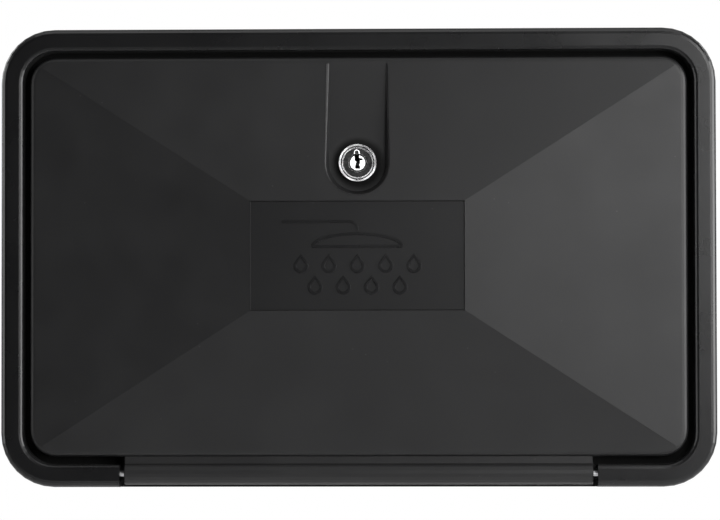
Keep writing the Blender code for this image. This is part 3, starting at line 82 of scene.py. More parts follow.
# Name, place, width, height and power
LAMPS = (
    ("key_right", (0.440, -0.900, 0.195), 0.30, 0.54, 5.9),
    ("top_front", (0.250, -1.050, 1.250), 0.60, 0.40, 2.0),
    ("edge_left", (-1.680, -0.236, 0.148), 0.90, 1.20, 13.0),
    ("edge_right", (1.560, -0.640, 0.148), 1.60, 1.20, 60.0),
    ("lock_card", (-0.0475, -1.750, 0.1285), 0.125, 0.087, 0.090),
    ("lock_card_left", (-0.081, -1.750, 0.1885), 0.058, 0.033, 0.016),
    ("overhead", (0.0, -0.10, 1.70), 1.80, 1.20, 12.0),
    ("back_right", (1.20, 1.50, 0.80), 1.00, 1.00, 20.0),
    ("back_left", (-1.40, 1.30, 0.60), 1.00, 1.00, 16.0),
)

# Door: how far its facets rise, and how far its bottom edge lies over the flange's
DOOR_RISE = 0.0080
DOOR_FILLET = 0.0030
DOOR_FOOT = 0.01455
FIELD_HALF_WIDTH = 0.0502
FIELD_HALF_HEIGHT = 0.0256
FIELD_SUNK = 0.0008

# Places where a moulding's finish differs; in the channel between door and rim, black shade is painted.
# The channel and the rim's polished face are measured from the flange's edge and front, the field from
# the door's front. EDGE is the width of a soft border.
RIM_WIDTH = 0.0106
CHANNEL_LAP_X = 0.0002
CHANNEL_LAP_Z = 0.00025
CHANNEL_FRONT = 0.0040
CHANNEL_BACK = 0.0135
CHANNEL_EDGE = 0.0002
CHANNEL_EDGE_Y = 0.0008
RIM_FACE_INSET_X = 0.0007
RIM_FACE_INSET_Z = 0.00065
RIM_FACE_EDGE = 0.0004
FIELD_RAISE = 0.000075
FIELD_BEFORE = 0.0010
FIELD_BEHIND = 0.0012
FIELD_EDGE = 0.0006
FIELD_EDGE_Y = 0.0002
TUB_START_Y = 0.0012
TUB_EDGE = 0.0006

# Painted shadow ring on the recess floor round the lock: distances from the lock's axis between which it
# fades
SHADOW_RING_FADE = (0.0104, 0.0136)

# Grain of the finishes. ENDS are the noise values between which a colour or a roughness changes.
IOR = 1.5
NOISE_ENDS = (0.3, 0.7)
FLOW_SIZE = 0.055
FLOW_ENDS = (0.35, 0.65)
FLOW_DEPTH = 0.000072
HANDLED_SIZE = 0.021
PLASTIC_GRAIN = 0.00045
PLASTIC_DEPTH = 0.000012
SPECK_PITCH = 0.011
SPECK_ENDS = (0.02, 0.035)
SCRATCH_SIZE = 0.0006
SCRATCH_STRETCH = (1.0, 1.0, 0.08)
SCRATCH_ENDS = (0.35, 0.75)
SCRATCH_DEPTH = 0.000002
WAVE_SIZE = 0.0052
LINE_SIZE = 0.0005
LINE_DEPTH = 0.000004
ALONG_X = (0.02, 1.0, 1.0)
ALONG_Y = (1.0, 0.08, 1.0)
BLOOM_SIZE = 0.009
BLOOM_ENDS = (0.4, 0.7)
RUBBER_GRAIN = 0.0003
RUBBER_DEPTH = 0.00001

# Colours that several finishes share
NEAR_BLACK = (0.0036, 0.0036, 0.0039)
BLACK = (0.0052, 0.0052, 0.0055)
# Black of the painted shade in the channel round the door and of the painted shadow ring round the lock
PAINTED_SHADE_BLACK = (0.0008, 0.0008, 0.0008)
SPECK_GREY = (0.10, 0.10, 0.10)
# Bare metal, also the painted shade deep in the keyway
BARE_METAL_AND_SHADE = (0.012, 0.012, 0.012)
BARE_ROUGHNESS = 0.8

# Sign on the door's field
SIGN_STROKE = 0.00070
SIGN_PROUD = 0.00035
SIGN_SMOOTH_DEG = 24.0
ROSE_WIDTH = 0.0420
ROSE_TOP_Z = 0.0172
ROSE_RIM_Z = 0.0048
ROSE_STEPS = 28
PIPE_REACH = 0.0140
PIPE_BEND = 0.0040
PIPE_STEPS = 8
DROP_PITCH = 0.0132
DROP_WIDTH = 0.0056
DROP_HEIGHT = 0.0076
DROP_START_DEG = 155.0
DROP_END_DEG = 385.0
DROP_STEPS = 16

# Height of each row of drops, and their places in pitches
DROP_ROWS = ((0.0006, (-2, -1, 0, 1, 2)), (-0.0094, (-1.5, -0.5, 0.5, 1.5)))

# Section of a raised line, in shares of its half width and its height
BEAD_SECTION = ((1.0, -0.6), (1.0, 0.55), (0.82, 1.0), (-0.82, 1.0), (-1.0, 0.55), (-1.0, -0.6))

# Edge of the recess round the lock
RECESS_RADIUS = 0.0134
RECESS_DRAFT_DEG = 14.0
RECESS_FLOOR_SUNK = 0.0081
EDGE_TOP_DROP = 0.0035
EDGE_WIDTH = 0.0010
EDGE_WIDTH_SWING = 0.0002
EDGE_TAPER = 0.5
EDGE_STEP = 0.00005
EDGE_SLOPE_DEG = 7.0
EDGE_ROLL = 0.0003
EDGE_SIDE_STEPS = 24
EDGE_BEND_STEPS = 48
EDGE_ROLL_STEPS = 6
EDGE_PASSES = 4
EDGE_SMOOTH_DEG = 50.0

# Lock head: radii from the rim inwards, and depths under its face
LOCK_RADIUS = 0.0090
LOCK_RING = 0.00795
LOCK_SECOND = 0.00735
LOCK_INSERT = 0.00685
LOCK_BORE = 0.0043
LOCK_CROWN_DEG = 0.8
LOCK_FACE = 0.0017
LOCK_CHAMFER = 0.00022
LOCK_GROOVE = 0.00035
LOCK_INSERT_SUNK = 0.0008
LOCK_BODY_RADIUS = 0.0080
LOCK_BODY_HALF_FLATS = 0.0070
LOCK_THREAD_PITCH = 0.0010
LOCK_THREAD_DEPTH = 0.00035
LOCK_THREAD_POINTS = 4
LOCK_STEPS = 96
LOCK_SMOOTH_DEG = 28.0
INSERT_GAP = 0.00003
INSERT_DEPTH = 0.0002
INSERT_PROUD = 0.00008
NOTCH_HALF_WIDTH = 0.00112
NOTCH_TOP = 0.0060
NOTCH_FOOT_LAP = 0.0002
NOTCH_LINE = 0.00024
NOTCH_ASIDE = -0.0004
NOTCH_PROUD = 0.00045
NOTCH_STEPS = 12
NOTCH_SMOOTH_DEG = 50.0

# Keyway, open to the notch above it: height and the two sides on each row, in millimetres
KEYWAY_ROWS = (
    (-2.8, -1.15, 1.15),
    (-1.6, -1.25, 1.15),
    (-1.0, -1.00, 0.75),
    (-0.5, -1.10, 1.05),
    (0.1, -0.55, 1.10),
    (0.6, -0.60, 1.10),
    (1.1, -1.40, 1.05),
    (1.3, -1.45, 2.40),
    (2.0, -1.45, 2.40),
    (2.3, -1.45, 0.75),
    (3.0, -1.45, 0.75),
)
MM_PER_METRE = 1000
KEYWAY_DEPTH = 0.0074
PLUG_EDGE = 0.00045
PLUG_EDGE_DEPTH = 0.0010
PLUG_LAP = 0.00025
PLUG_TAIL_RADIUS = 0.0030
PLUG_SCREW_HOLE = 0.0018
PLUG_STEPS = 72
# Depth past which the plug is dark: bare metal, and painted shade deep in the keyway
PLATED_DEPTH = 0.0007
PLATED_EDGE = 0.0003

# Half-inch pipe thread. Shares of its pitch: where the crest ends, and where the root starts and ends
THREAD_PITCH = 0.001814
THREAD_DEPTH = 0.0009
THREAD_BORE = 0.0065
THREAD_CREST_END = 0.12
THREAD_ROOT_START = 0.50
THREAD_ROOT_END = 0.62
THREAD_SPARE_TURNS = 3
THREAD_STEPS = 40
THREAD_SMOOTH_DEG = 30.0

# Threads over the plain ends of the vacuum breaker and the hand shower
HOSE_THREAD_LENGTH = 0.0092
HOSE_THREAD_CREST = 0.01075
TAIL_THREAD_LENGTH = 0.0110
TAIL_THREAD_CREST = 0.00975
END_THREAD_INSET = 0.0003
HANDLE_RADIUS = 0.0120

# Lobed knob, turned finer than its solid
KNOB_LENGTH = 0.0220
KNOB_LOBES = 8
KNOB_LOBE = 0.0013
KNOB_CAP_SEAT = 0.0026
KNOB_CAP_CHAMFER = 0.0002
KNOB_FOOT_INSET = 0.0004
KNOB_FOOT_HEIGHT = 0.0003
KNOB_CAVITY_SHARE = 0.785
KNOB_ROOF_DROP = 0.0020
KNOB_BORE = 0.0053
KNOB_BOSS_WALL = 0.0025
KNOB_SHELF = 0.0015
KNOB_SCREW_HOLE = 0.0018
KNOB_SCREW_POCKET = 0.0037
KNOB_STEPS = 144
KNOB_SMOOTH_DEG = 30.0

# Knob's crown: share of the radius and drop from the face. The lobes start at one of its points.
KNOB_CROWN = (
    (0.68, 0.0),
    (0.74, 0.0005),
    (0.80, 0.0013),
    (0.84, 0.0024),
    (0.875, 0.0040),
    (0.91, 0.0062),
    (0.95, 0.0120),
)
KNOB_LOBED_FROM = 2

FINISH_OF_NODE = {
    "housing": "rim_plastic",
    "keeper": "rim_plastic",
    "door": "door_plastic",
    "door_seal": "rubber",
    "hinge_pin": "pin_steel",
    "lock_barrel": "lock_chrome",
    "lock_plug": "plug_chrome",
    "lock_nut": "zinc",
    "lock_cam": "zinc",
    "cam_screw": "zinc",
    "faucet_body": "chrome",
    "hot_index_cap": "hot_red",
    "cold_index_cap": "cold_blue",
    "vacuum_breaker": "chrome",
    "hand_shower_body": "grip_plastic",
    "spray_plate": "white_nylon",
    "spray_bezel": "chrome",
    "flow_switch": "chrome",
    "shower_clip": "grip_plastic",
    "clip_screw_upper": "zinc",
    "clip_screw_lower": "zinc",
}

# The same on the hot and the cold side
FINISH_OF_SIDE = {
    "_shank": "brass",
    "_shank_washer": "rubber",
    "_shank_nut": "white_nylon",
    "_bonnet": "brass",
    "_stem": "brass",
    "_knob": "chrome",
    "_knob_screw": "zinc",
}

TO_BACK = Matrix.Rotation(math.radians(-90.0), 4, "X")
TO_FRONT = Matrix.Rotation(math.radians(90.0), 4, "X")
TO_GROUND = Matrix.Rotation(math.radians(180.0), 4, "X")
TO_RIGHT = Matrix.Rotation(math.radians(90.0), 4, "Y")

boxes = {}


def box(name):
    """Corners of a fixed node's box, worked out once."""
    if name not in boxes:
        boxes[name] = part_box(name)
    return boxes[name]


def door_spread():
    """Middle height of the door's facets and half their height."""
    top = box("door")[1].z
    bottom = -box("housing")[1].z + DOOR_FOOT
    return (top + bottom) / 2, (top - bottom) / 2


# Mesh helpers

def add_piece(name, mesh, body, finish, smooth_deg=SMOOTH_DEG):
    """A new piece that rides on a body and takes its finish from a slot."""
    mesh.shade_smooth()
    mesh.set_sharp_from_angle(angle=math.radians(smooth_deg))
    mesh.materials.append(finish)
    item = bpy.data.objects.new(name, mesh)
    bpy.context.collection.objects.link(item)
    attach(item, body)
    return item


def mesh_of(bm, name):
    """A clean mesh of what was built, with its faces turned outwards."""
    bmesh.ops.remove_doubles(bm, verts=bm.verts, dist=WELD)
    bmesh.ops.dissolve_degenerate(bm, edges=bm.edges, dist=WELD)
    bmesh.ops.recalc_face_normals(bm, faces=bm.faces)
    mesh = bpy.data.meshes.new(name)
    bm.to_mesh(mesh)
    bm.free()
    return mesh


def skin(bm, loops, closed=False):
    """Walls between loops that follow each other, joined to a ring or capped at both ends."""
    count = len(loops[0])
    for first, second in zip(loops, loops[1:] + (loops[:1] if closed else [])):
        for index in range(count):
            after = (index + 1) % count
            bm.faces.new((first[index], first[after], second[after], second[index]))
    if not closed:
        bm.faces.new(loops[0])
        bm.faces.new(loops[-1])


def turned_mesh(name, profile, steps, reach=None):
    """Closed ring turned round Z from (radius, height) points; reach(angle, radius, index) may vary it."""
    bm = bmesh.new()
    loops = []
    for index, (radius, height) in enumerate(profile):
        loop = []
        for step in range(steps):
            angle = math.tau * step / steps
            far = reach(angle, radius, index) if reach else radius
            loop.append(bm.verts.new((far * math.cos(angle), far * math.sin(angle), height)))
        loops.append(loop)
    skin(bm, loops, closed=True)
    return mesh_of(bm, name)


def join_mesh(bm, mesh):
    """Adds a finished mesh to one that is being built."""
    bm.from_mesh(mesh)
    bpy.data.meshes.remove(mesh)


def threaded_mesh(name, crest, start, end):
    """Tube round Z with a male thread from start to end."""
    root = crest - THREAD_DEPTH
    section = ((0.0, crest), (THREAD_CREST_END, crest), (THREAD_ROOT_START, root), (THREAD_ROOT_END, root))
    turns = int((end - start) / THREAD_PITCH) + THREAD_SPARE_TURNS
    bm = bmesh.new()
    rows = []
    for turn in range(turns):
        for share, radius in section:
            row = []
            for step in range(THREAD_STEPS):
                angle = math.tau * step / THREAD_STEPS
                height = start + THREAD_PITCH * (turn - 1 + share + step / THREAD_STEPS)
                height = min(max(height, start), end)
                edge = min(height - start, end - height)
                reach = min(radius, root + edge)
                row.append(bm.verts.new((reach * math.cos(angle), reach * math.sin(angle), height)))
            rows.append(row)
    per_turn = len(section)
    for index in range(len(rows) - per_turn - 1):
        for step in range(THREAD_STEPS):
            if step < THREAD_STEPS - 1:
                near, far = rows[index][step + 1], rows[index + 1][step + 1]
            else:
                near, far = rows[index + per_turn][0], rows[index + 1 + per_turn][0]
            bm.faces.new((rows[index][step], near, far, rows[index + 1][step]))
    core = [(THREAD_BORE, start), (root, start), (root, end), (THREAD_BORE, end)]
    join_mesh(bm, turned_mesh("core", core, THREAD_STEPS))
    return mesh_of(bm, name)


def facing(mesh, place, turn):
    """Turns a mesh whose axis is +Z and puts it in its place in the part's frame."""
    mesh.transform(Matrix.Translation(place) @ turn)
    return mesh


def arc_points(centre, radius, start_deg, end_deg, steps):
    """Points along an arc, its ends included."""
    points = []
    for step in range(steps + 1):
        angle = math.radians(start_deg + (end_deg - start_deg) * step / steps)
        points.append((centre[0] + radius * math.cos(angle), centre[1] + radius * math.sin(angle)))
    return points


def bead(bm, points, base_y, half_width, proud, closed=False):
    """Raised line along points (x, z) on an upright plane."""
    count = len(points)
    loops = []
    for index, (x, z) in enumerate(points):
        before = points[index - 1] if closed or index else points[index]
        after = points[(index + 1) % count] if closed or index < count - 1 else points[index]
        along = Vector((after[0] - before[0], after[1] - before[1])).normalized()
        loop = []
        for aside, out in BEAD_SECTION:
            reach = half_width * aside
            place = (x - along.y * reach, base_y - proud * out, z + along.x * reach)
            loop.append(bm.verts.new(place))
        loops.append(loop)
    skin(bm, loops, closed)


# Node helpers

def new_material(name, roughness, metallic=0.0, specular=0.5):
    """A Principled material with its constant values set, and its tree."""
    material = bpy.data.materials.new(name)
    material.use_nodes = True
    tree = material.node_tree
    shader = tree.nodes["Principled BSDF"]
    shader.inputs["Roughness"].default_value = roughness
    shader.inputs["Metallic"].default_value = metallic
    shader.inputs["IOR"].default_value = IOR
    shader.inputs["Specular IOR Level"].default_value = specular
    return material, tree, shader


def object_coordinates(tree, stretch=(1.0, 1.0, 1.0)):
    """Places in the part's own space, stretched along its axes."""
    coordinates = tree.nodes.new("ShaderNodeTexCoord")
    mapping = tree.nodes.new("ShaderNodeMapping")
    mapping.inputs["Scale"].default_value = stretch
    tree.links.new(coordinates.outputs["Object"], mapping.inputs["Vector"])
    return mapping.outputs["Vector"]


def noise(tree, size, detail=2.0, stretch=(1.0, 1.0, 1.0)):
    """Noise whose grain measures about size metres."""
    texture = tree.nodes.new("ShaderNodeTexNoise")
    texture.inputs["Scale"].default_value = 1.0 / size
    texture.inputs["Detail"].default_value = detail
    tree.links.new(object_coordinates(tree, stretch), texture.inputs["Vector"])
    return texture.outputs["Fac"]


def remap(tree, value, from_low, from_high, to_low, to_high):
    """A value carried over from one range to another, and held at its ends."""
    change = tree.nodes.new("ShaderNodeMapRange")
    for name, number in (
        ("From Min", from_low),
        ("From Max", from_high),
        ("To Min", to_low),
        ("To Max", to_high),
    ):
        change.inputs[name].default_value = number
    tree.links.new(value, change.inputs["Value"])
    return change.outputs["Result"]


def combine(tree, operation, first, second):
    """Result of a math operation on two values."""
    both = tree.nodes.new("ShaderNodeMath")
    both.operation = operation
    tree.links.new(first, both.inputs[0])
    tree.links.new(second, both.inputs[1])
    return both.outputs["Value"]


def length_of(tree, vector):
    """Length of a vector output."""
    measure = tree.nodes.new("ShaderNodeVectorMath")
    measure.operation = "LENGTH"
    tree.links.new(vector, measure.inputs["Vector"])
    return measure.outputs["Value"]


def clouded(tree, value, ends, dark, pale):
    """Colour that goes from dark to pale where a noise rises between two ends."""
    share = remap(tree, value, *ends, 0.0, 1.0)
    mix = tree.nodes.new("ShaderNodeMix")
    mix.data_type = "RGBA"
    mix.inputs["A"].default_value = (*dark, 1.0)
    mix.inputs["B"].default_value = (*pale, 1.0)
    tree.links.new(share, mix.inputs["Factor"])
    return mix.outputs["Result"]


def shade_to(tree, share, shade, colour):
    """Blends a colour output towards a fixed colour."""
    mix = tree.nodes.new("ShaderNodeMix")
    mix.data_type = "RGBA"
    mix.inputs["B"].default_value = (*colour, 1.0)
    tree.links.new(share, mix.inputs["Factor"])
    tree.links.new(shade, mix.inputs["A"])
    return mix.outputs["Result"]


def value_to(tree, share, value, number):
    """Blends a value output towards a fixed number."""
    mix = tree.nodes.new("ShaderNodeMix")
    mix.inputs["B"].default_value = number
    tree.links.new(share, mix.inputs["Factor"])
    tree.links.new(value, mix.inputs["A"])
    return mix.outputs["Result"]


def bump(tree, shader, heights):
    """Chains bumps of (height, depth in metres) into the shader's normal."""
    before = None
    for height, depth in heights:
        node = tree.nodes.new("ShaderNodeBump")
        node.inputs["Distance"].default_value = depth
        tree.links.new(height, node.inputs["Height"])
        if before:
            tree.links.new(before, node.inputs["Normal"])
        before = node.outputs["Normal"]
    tree.links.new(before, shader.inputs["Normal"])


def within(tree, value, low, high, edge):
    """1 where a value lies between low and high, 0 outside, with soft edges."""
    rise = remap(tree, value, low - edge, low, 0.0, 1.0)
    fall = remap(tree, value, high, high + edge, 1.0, 0.0)
    return combine(tree, "MULTIPLY", rise, fall)


def place_mask(tree, ranges):
    """1 inside a box of the part's own space, 0 outside."""
    axes = tree.nodes.new("ShaderNodeSeparateXYZ")
    tree.links.new(object_coordinates(tree), axes.inputs["Vector"])
    mask = None
    for axis, (low, high, edge) in ranges.items():
        inside = within(tree, axes.outputs[axis], low, high, edge)
        mask = combine(tree, "MULTIPLY", mask, inside) if mask else inside
    return mask


def round_mask(tree, centre, near, far):
    """1 close to an axis along Y, fading to 0 between two distances from it."""
    place = tree.nodes.new("ShaderNodeMapping")
    place.inputs["Location"].default_value = (-centre.x, 0.0, -centre.z)
    place.inputs["Scale"].default_value = (1.0, 0.0, 1.0)
    tree.links.new(object_coordinates(tree), place.inputs["Vector"])
    return remap(tree, length_of(tree, place.outputs["Vector"]), near, far, 1.0, 0.0)


# Finishes

def moulded_plastic(
    name, rough, dark=NEAR_BLACK, pale=BLACK, grain=PLASTIC_GRAIN, specks=0.0, specular=0.5,
    channel=None, shadow_ring_centre=None, patch=None, rest=None
):
    """Injection-moulded plastic: fine grain, soft flow marks and, where asked, a few pale specks.

    Black shade is painted, fully rough, into a channel and into a ring round a centre (a painted
    shadow). A patch has its own roughness inside its ranges, and rest has one outside them.
    """
    material, tree, shader = new_material(name, sum(rough) / 2, specular=specular)
    flow = noise(tree, FLOW_SIZE, detail=3.0)
    shade = clouded(tree, flow, FLOW_ENDS, dark, pale)
    if specks:
        cells = tree.nodes.new("ShaderNodeTexVoronoi")
        cells.inputs["Scale"].default_value = 1.0 / SPECK_PITCH
        tree.links.new(object_coordinates(tree), cells.inputs["Vector"])
        dot = remap(tree, cells.outputs["Distance"], *SPECK_ENDS, specks, 0.0)
        shade = shade_to(tree, dot, shade, SPECK_GREY)
    finish = remap(tree, noise(tree, HANDLED_SIZE, detail=4.0), *NOISE_ENDS, *rough)
    if patch:
        ranges, roughness = patch
        finish = value_to(tree, place_mask(tree, ranges), finish, roughness)
    if rest:
        ranges, roughness = rest
        outside = remap(tree, place_mask(tree, ranges), 0.0, 1.0, 1.0, 0.0)
        finish = value_to(tree, outside, finish, roughness)
    # Painted shade: the channel and the shadow ring round the lock turn black and fully rough
    painted_shade = []
    if channel:
        painted_shade.append(place_mask(tree, channel))
    if shadow_ring_centre is not None:
        painted_shade.append(round_mask(tree, shadow_ring_centre, *SHADOW_RING_FADE))
    for mask in painted_shade:
        shade = shade_to(tree, mask, shade, PAINTED_SHADE_BLACK)
        finish = value_to(tree, mask, finish, 1.0)
    tree.links.new(shade, shader.inputs["Base Color"])
    tree.links.new(finish, shader.inputs["Roughness"])
    bump(tree, shader, [(noise(tree, grain, detail=1.5), PLASTIC_DEPTH), (flow, FLOW_DEPTH)])
    return material


def plated_metal(name, dark, pale, rough, cloud=0.012, depth=SCRATCH_DEPTH, wave=0.0, bare_and_shaded_from=None):
    """Plated or cast metal: clouded colour, uneven polish, hair scratches and, where asked, waves.

    Plating that reaches only to a depth leaves the metal behind it dull and dark; deep in the keyway
    this dark is also painted shade.
    """
    material, tree, shader = new_material(name, sum(rough) / 2, metallic=1.0)
    shade = clouded(tree, noise(tree, cloud, detail=4.0), NOISE_ENDS, dark, pale)
    scratches = noise(tree, SCRATCH_SIZE, detail=3.0, stretch=SCRATCH_STRETCH)
    finish = remap(tree, scratches, *SCRATCH_ENDS, *rough)
    # Behind the plating: bare metal, and painted shade deep in the keyway
    if bare_and_shaded_from is not None:
        behind = place_mask(tree, {"Y": (bare_and_shaded_from, FAR_BACK, PLATED_EDGE)})
        shade = shade_to(tree, behind, shade, BARE_METAL_AND_SHADE)
        finish = value_to(tree, behind, finish, BARE_ROUGHNESS)
    tree.links.new(shade, shader.inputs["Base Color"])
    tree.links.new(finish, shader.inputs["Roughness"])
    bumps = [(scratches, depth)]
    if wave:
        bumps.append((noise(tree, WAVE_SIZE, detail=0.0), wave))
    bump(tree, shader, bumps)
    return material


def drawn_metal(name, dark, pale, rough, lines=ALONG_X):
    """Bar stock: fine lines along one axis."""
    material, tree, shader = new_material(name, sum(rough) / 2, metallic=1.0)
    streaks = noise(tree, LINE_SIZE, stretch=lines)
    tree.links.new(clouded(tree, streaks, NOISE_ENDS, dark, pale), shader.inputs["Base Color"])
    tree.links.new(remap(tree, streaks, *NOISE_ENDS, *rough), shader.inputs["Roughness"])
    bump(tree, shader, [(streaks, LINE_DEPTH)])
    return material


def matt_rubber(name, dark, pale, rough):
    """Rubber with a faint bloom."""
    material, tree, shader = new_material(name, sum(rough) / 2, specular=0.3)
    bloom = noise(tree, BLOOM_SIZE, detail=4.0)
    tree.links.new(clouded(tree, bloom, BLOOM_ENDS, dark, pale), shader.inputs["Base Color"])
    tree.links.new(remap(tree, bloom, *NOISE_ENDS, *rough), shader.inputs["Roughness"])
    bump(tree, shader, [(noise(tree, RUBBER_GRAIN), RUBBER_DEPTH)])
    return material


def make_masks():
    """Low, high and soft edge on each axis of the places where a moulding's finish differs."""
    low, high = box("housing")
    door_front = box("door")[0].y
    middle = door_spread()[0] + FIELD_RAISE
    inner_x = high.x - RIM_WIDTH + CHANNEL_LAP_X
    inner_z = high.z - RIM_WIDTH + CHANNEL_LAP_Z
    face_x = high.x - RIM_FACE_INSET_X
    face_z = high.z - RIM_FACE_INSET_Z
    return {
        # Channel between door and rim, where black shade is painted
        "channel": {
            "X": (-inner_x, inner_x, CHANNEL_EDGE),
            "Y": (low.y + CHANNEL_FRONT, low.y + CHANNEL_BACK, CHANNEL_EDGE_Y),
            "Z": (-inner_z, inner_z, CHANNEL_EDGE),
        },
        "rim_face": {
            "X": (-face_x, face_x, RIM_FACE_EDGE),
            "Z": (-face_z, face_z, RIM_FACE_EDGE),
        },
        "field": {
            "X": (-FIELD_HALF_WIDTH, FIELD_HALF_WIDTH, FIELD_EDGE),
            "Y": (door_front - FIELD_BEFORE, door_front + FIELD_BEHIND, FIELD_EDGE_Y),
            "Z": (middle - FIELD_HALF_HEIGHT, middle + FIELD_HALF_HEIGHT, FIELD_EDGE),
        },
        "tub": {"Y": (TUB_START_Y, FAR_BACK, TUB_EDGE)},
    }


def make_finishes():
    """All finishes by name."""
    masks = make_masks()
    low, high = box("lock_barrel")
    lock_centre = (low + high) / 2
    plating = {
        "dark": (0.84, 0.84, 0.85),
        "pale": (0.92, 0.92, 0.93),
        "rough": (0.08, 0.14),
        "cloud": 0.0035,
        "wave": 0.00004,
    }
    # Past this depth the plug is dark: bare metal, and painted shade in the keyway
    bare_and_shaded_from = box("lock_plug")[0].y + PLATED_DEPTH
    return {
        # Both mouldings carry painted shade in the channel; the door also carries a painted shadow ring
        # round the lock
        "rim_plastic": moulded_plastic(
            "rim_plastic", (0.26, 0.31), specular=0.32, channel=masks["channel"],
            patch=(masks["tub"], 0.82), rest=(masks["rim_face"], 0.70)
        ),
        "door_plastic": moulded_plastic(
            "door_plastic", (0.45, 0.51), specks=0.25, specular=0.32, channel=masks["channel"],
            shadow_ring_centre=lock_centre, patch=(masks["field"], 0.37)
        ),
        "sign_plastic": moulded_plastic("sign_plastic", (0.24, 0.30), specular=0.32),
        "edge_plastic": moulded_plastic("edge_plastic", (0.30, 0.36), specular=0.42),
        "grip_plastic": moulded_plastic("grip_plastic", (0.42, 0.55), grain=0.0007),
        "white_nylon": moulded_plastic("white_nylon", (0.38, 0.5), (0.70, 0.70, 0.67), (0.78, 0.78, 0.76)),
        "hot_red": moulded_plastic("hot_red", (0.2, 0.3), (0.50, 0.015, 0.012), (0.60, 0.03, 0.02)),
        "cold_blue": moulded_plastic("cold_blue", (0.2, 0.3), (0.015, 0.07, 0.42), (0.03, 0.11, 0.52)),
        "rubber": matt_rubber("rubber", (0.010, 0.010, 0.011), (0.020, 0.020, 0.020), (0.72, 0.9)),
        "chrome": plated_metal("chrome", (0.70, 0.70, 0.72), (0.82, 0.82, 0.84), (0.05, 0.11)),
        "lock_chrome": plated_metal("lock_chrome", **plating),
        "plug_chrome": plated_metal("plug_chrome", **plating, bare_and_shaded_from=bare_and_shaded_from),
        "lock_cast": plated_metal(
            "lock_cast", (0.016, 0.016, 0.017), (0.060, 0.060, 0.060), (0.40, 0.60), cloud=0.0008,
            depth=0.00003
        ),
        "zinc": plated_metal(
            "zinc", (0.36, 0.37, 0.38), (0.50, 0.50, 0.48), (0.42, 0.58), cloud=0.004
        ),
        "pin_steel": drawn_metal("pin_steel", (0.38, 0.38, 0.39), (0.52, 0.52, 0.53), (0.25, 0.42)),
        "brass": drawn_metal(
            "brass", (0.62, 0.44, 0.18), (0.80, 0.60, 0.28), (0.22, 0.38), lines=ALONG_Y
        ),
    }


def finish_nodes(finishes):
    """Gives each fixed node its finish."""
    wanted = dict(FINISH_OF_NODE)
    for side in SIDES:
        wanted.update({side + part: finish for part, finish in FINISH_OF_SIDE.items()})
    for name, finish in wanted.items():
        for slot in nodes[name].material_slots:
            slot.material = finishes[finish]


# Sign and recess

def stroke(bm, points, closed=False):
    """A line of the sign, raised from the field."""
    bead(bm, points, box("door")[0].y + FIELD_SUNK, SIGN_STROKE, SIGN_PROUD, closed)


def drop_outline(x, top):
    """A drop with its point up."""
    radius = DROP_WIDTH / 2
    low = top - DROP_HEIGHT + radius
    return [(x, top)] + arc_points((x, low), radius, DROP_START_DEG, DROP_END_DEG, DROP_STEPS)


def make_sign(finishes):
    """Generic shower sign: a pipe, a rose and two rows of drops."""
    bm = bmesh.new()
    half = ROSE_WIDTH / 2
    line_z = ROSE_TOP_Z - SIGN_STROKE
    neck = line_z - PIPE_BEND - 2 * SIGN_STROKE - SIGN_PROUD
    pipe = [(-half - PIPE_REACH, line_z), (-PIPE_BEND, line_z)]
    pipe += arc_points((-PIPE_BEND, line_z - PIPE_BEND), PIPE_BEND, 90.0, 0.0, PIPE_STEPS)
    stroke(bm, pipe)
    rose = arc_points((0.0, ROSE_RIM_Z), half, 0.0, 180.0, ROSE_STEPS)
    rose = [(x, ROSE_RIM_Z + (z - ROSE_RIM_Z) * (neck - ROSE_RIM_Z) / half) for x, z in rose]
    stroke(bm, rose, closed=True)
    for top, shares in DROP_ROWS:
        for share in shares:
            stroke(bm, drop_outline(share * DROP_PITCH, top), closed=True)
    sign = mesh_of(bm, "door_sign")
    add_piece("door_sign", sign, "door_leaf", finishes["sign_plastic"], SIGN_SMOOTH_DEG)


def facet_y(z):
    """Depth of the door's upper facet at a height."""
    middle, half = door_spread()
    rise = (z - middle - FIELD_HALF_HEIGHT) / (half - DOOR_FILLET - FIELD_HALF_HEIGHT)
    return box("door")[0].y + DOOR_RISE * rise


def recess_path(top, centre_z):
    """Outward direction and height along the recess: down one side, round the lock and up again."""
    side = []
    for step in range(EDGE_SIDE_STEPS + 1):
        side.append((1.0, 0.0, top + (centre_z - top) * step / EDGE_SIDE_STEPS))
    bend = []
    for step in range(1, EDGE_BEND_STEPS):
        angle = math.pi * step / EDGE_BEND_STEPS
        bend.append((math.cos(angle), -math.sin(angle), centre_z))
    return side + bend + [(-x, 0.0, z) for x, _, z in reversed(side)]


def rolled_edge(slope):
    """Inner part of the lip's section, (away, deep): rolled over the edge, then closed below it."""
    section = []
    for step in range(EDGE_ROLL_STEPS + 1):
        angle = math.pi / 2 * step / EDGE_ROLL_STEPS
        deep = EDGE_ROLL * (1 - math.cos(angle)) - EDGE_STEP / 2
        section.append((-EDGE_ROLL * math.sin(angle) / 2, deep))
    section.append((-EDGE_ROLL / 2 - slope * EDGE_ROLL, 2 * EDGE_ROLL))
    section.append((EDGE_ROLL, 2 * EDGE_ROLL))
    return section


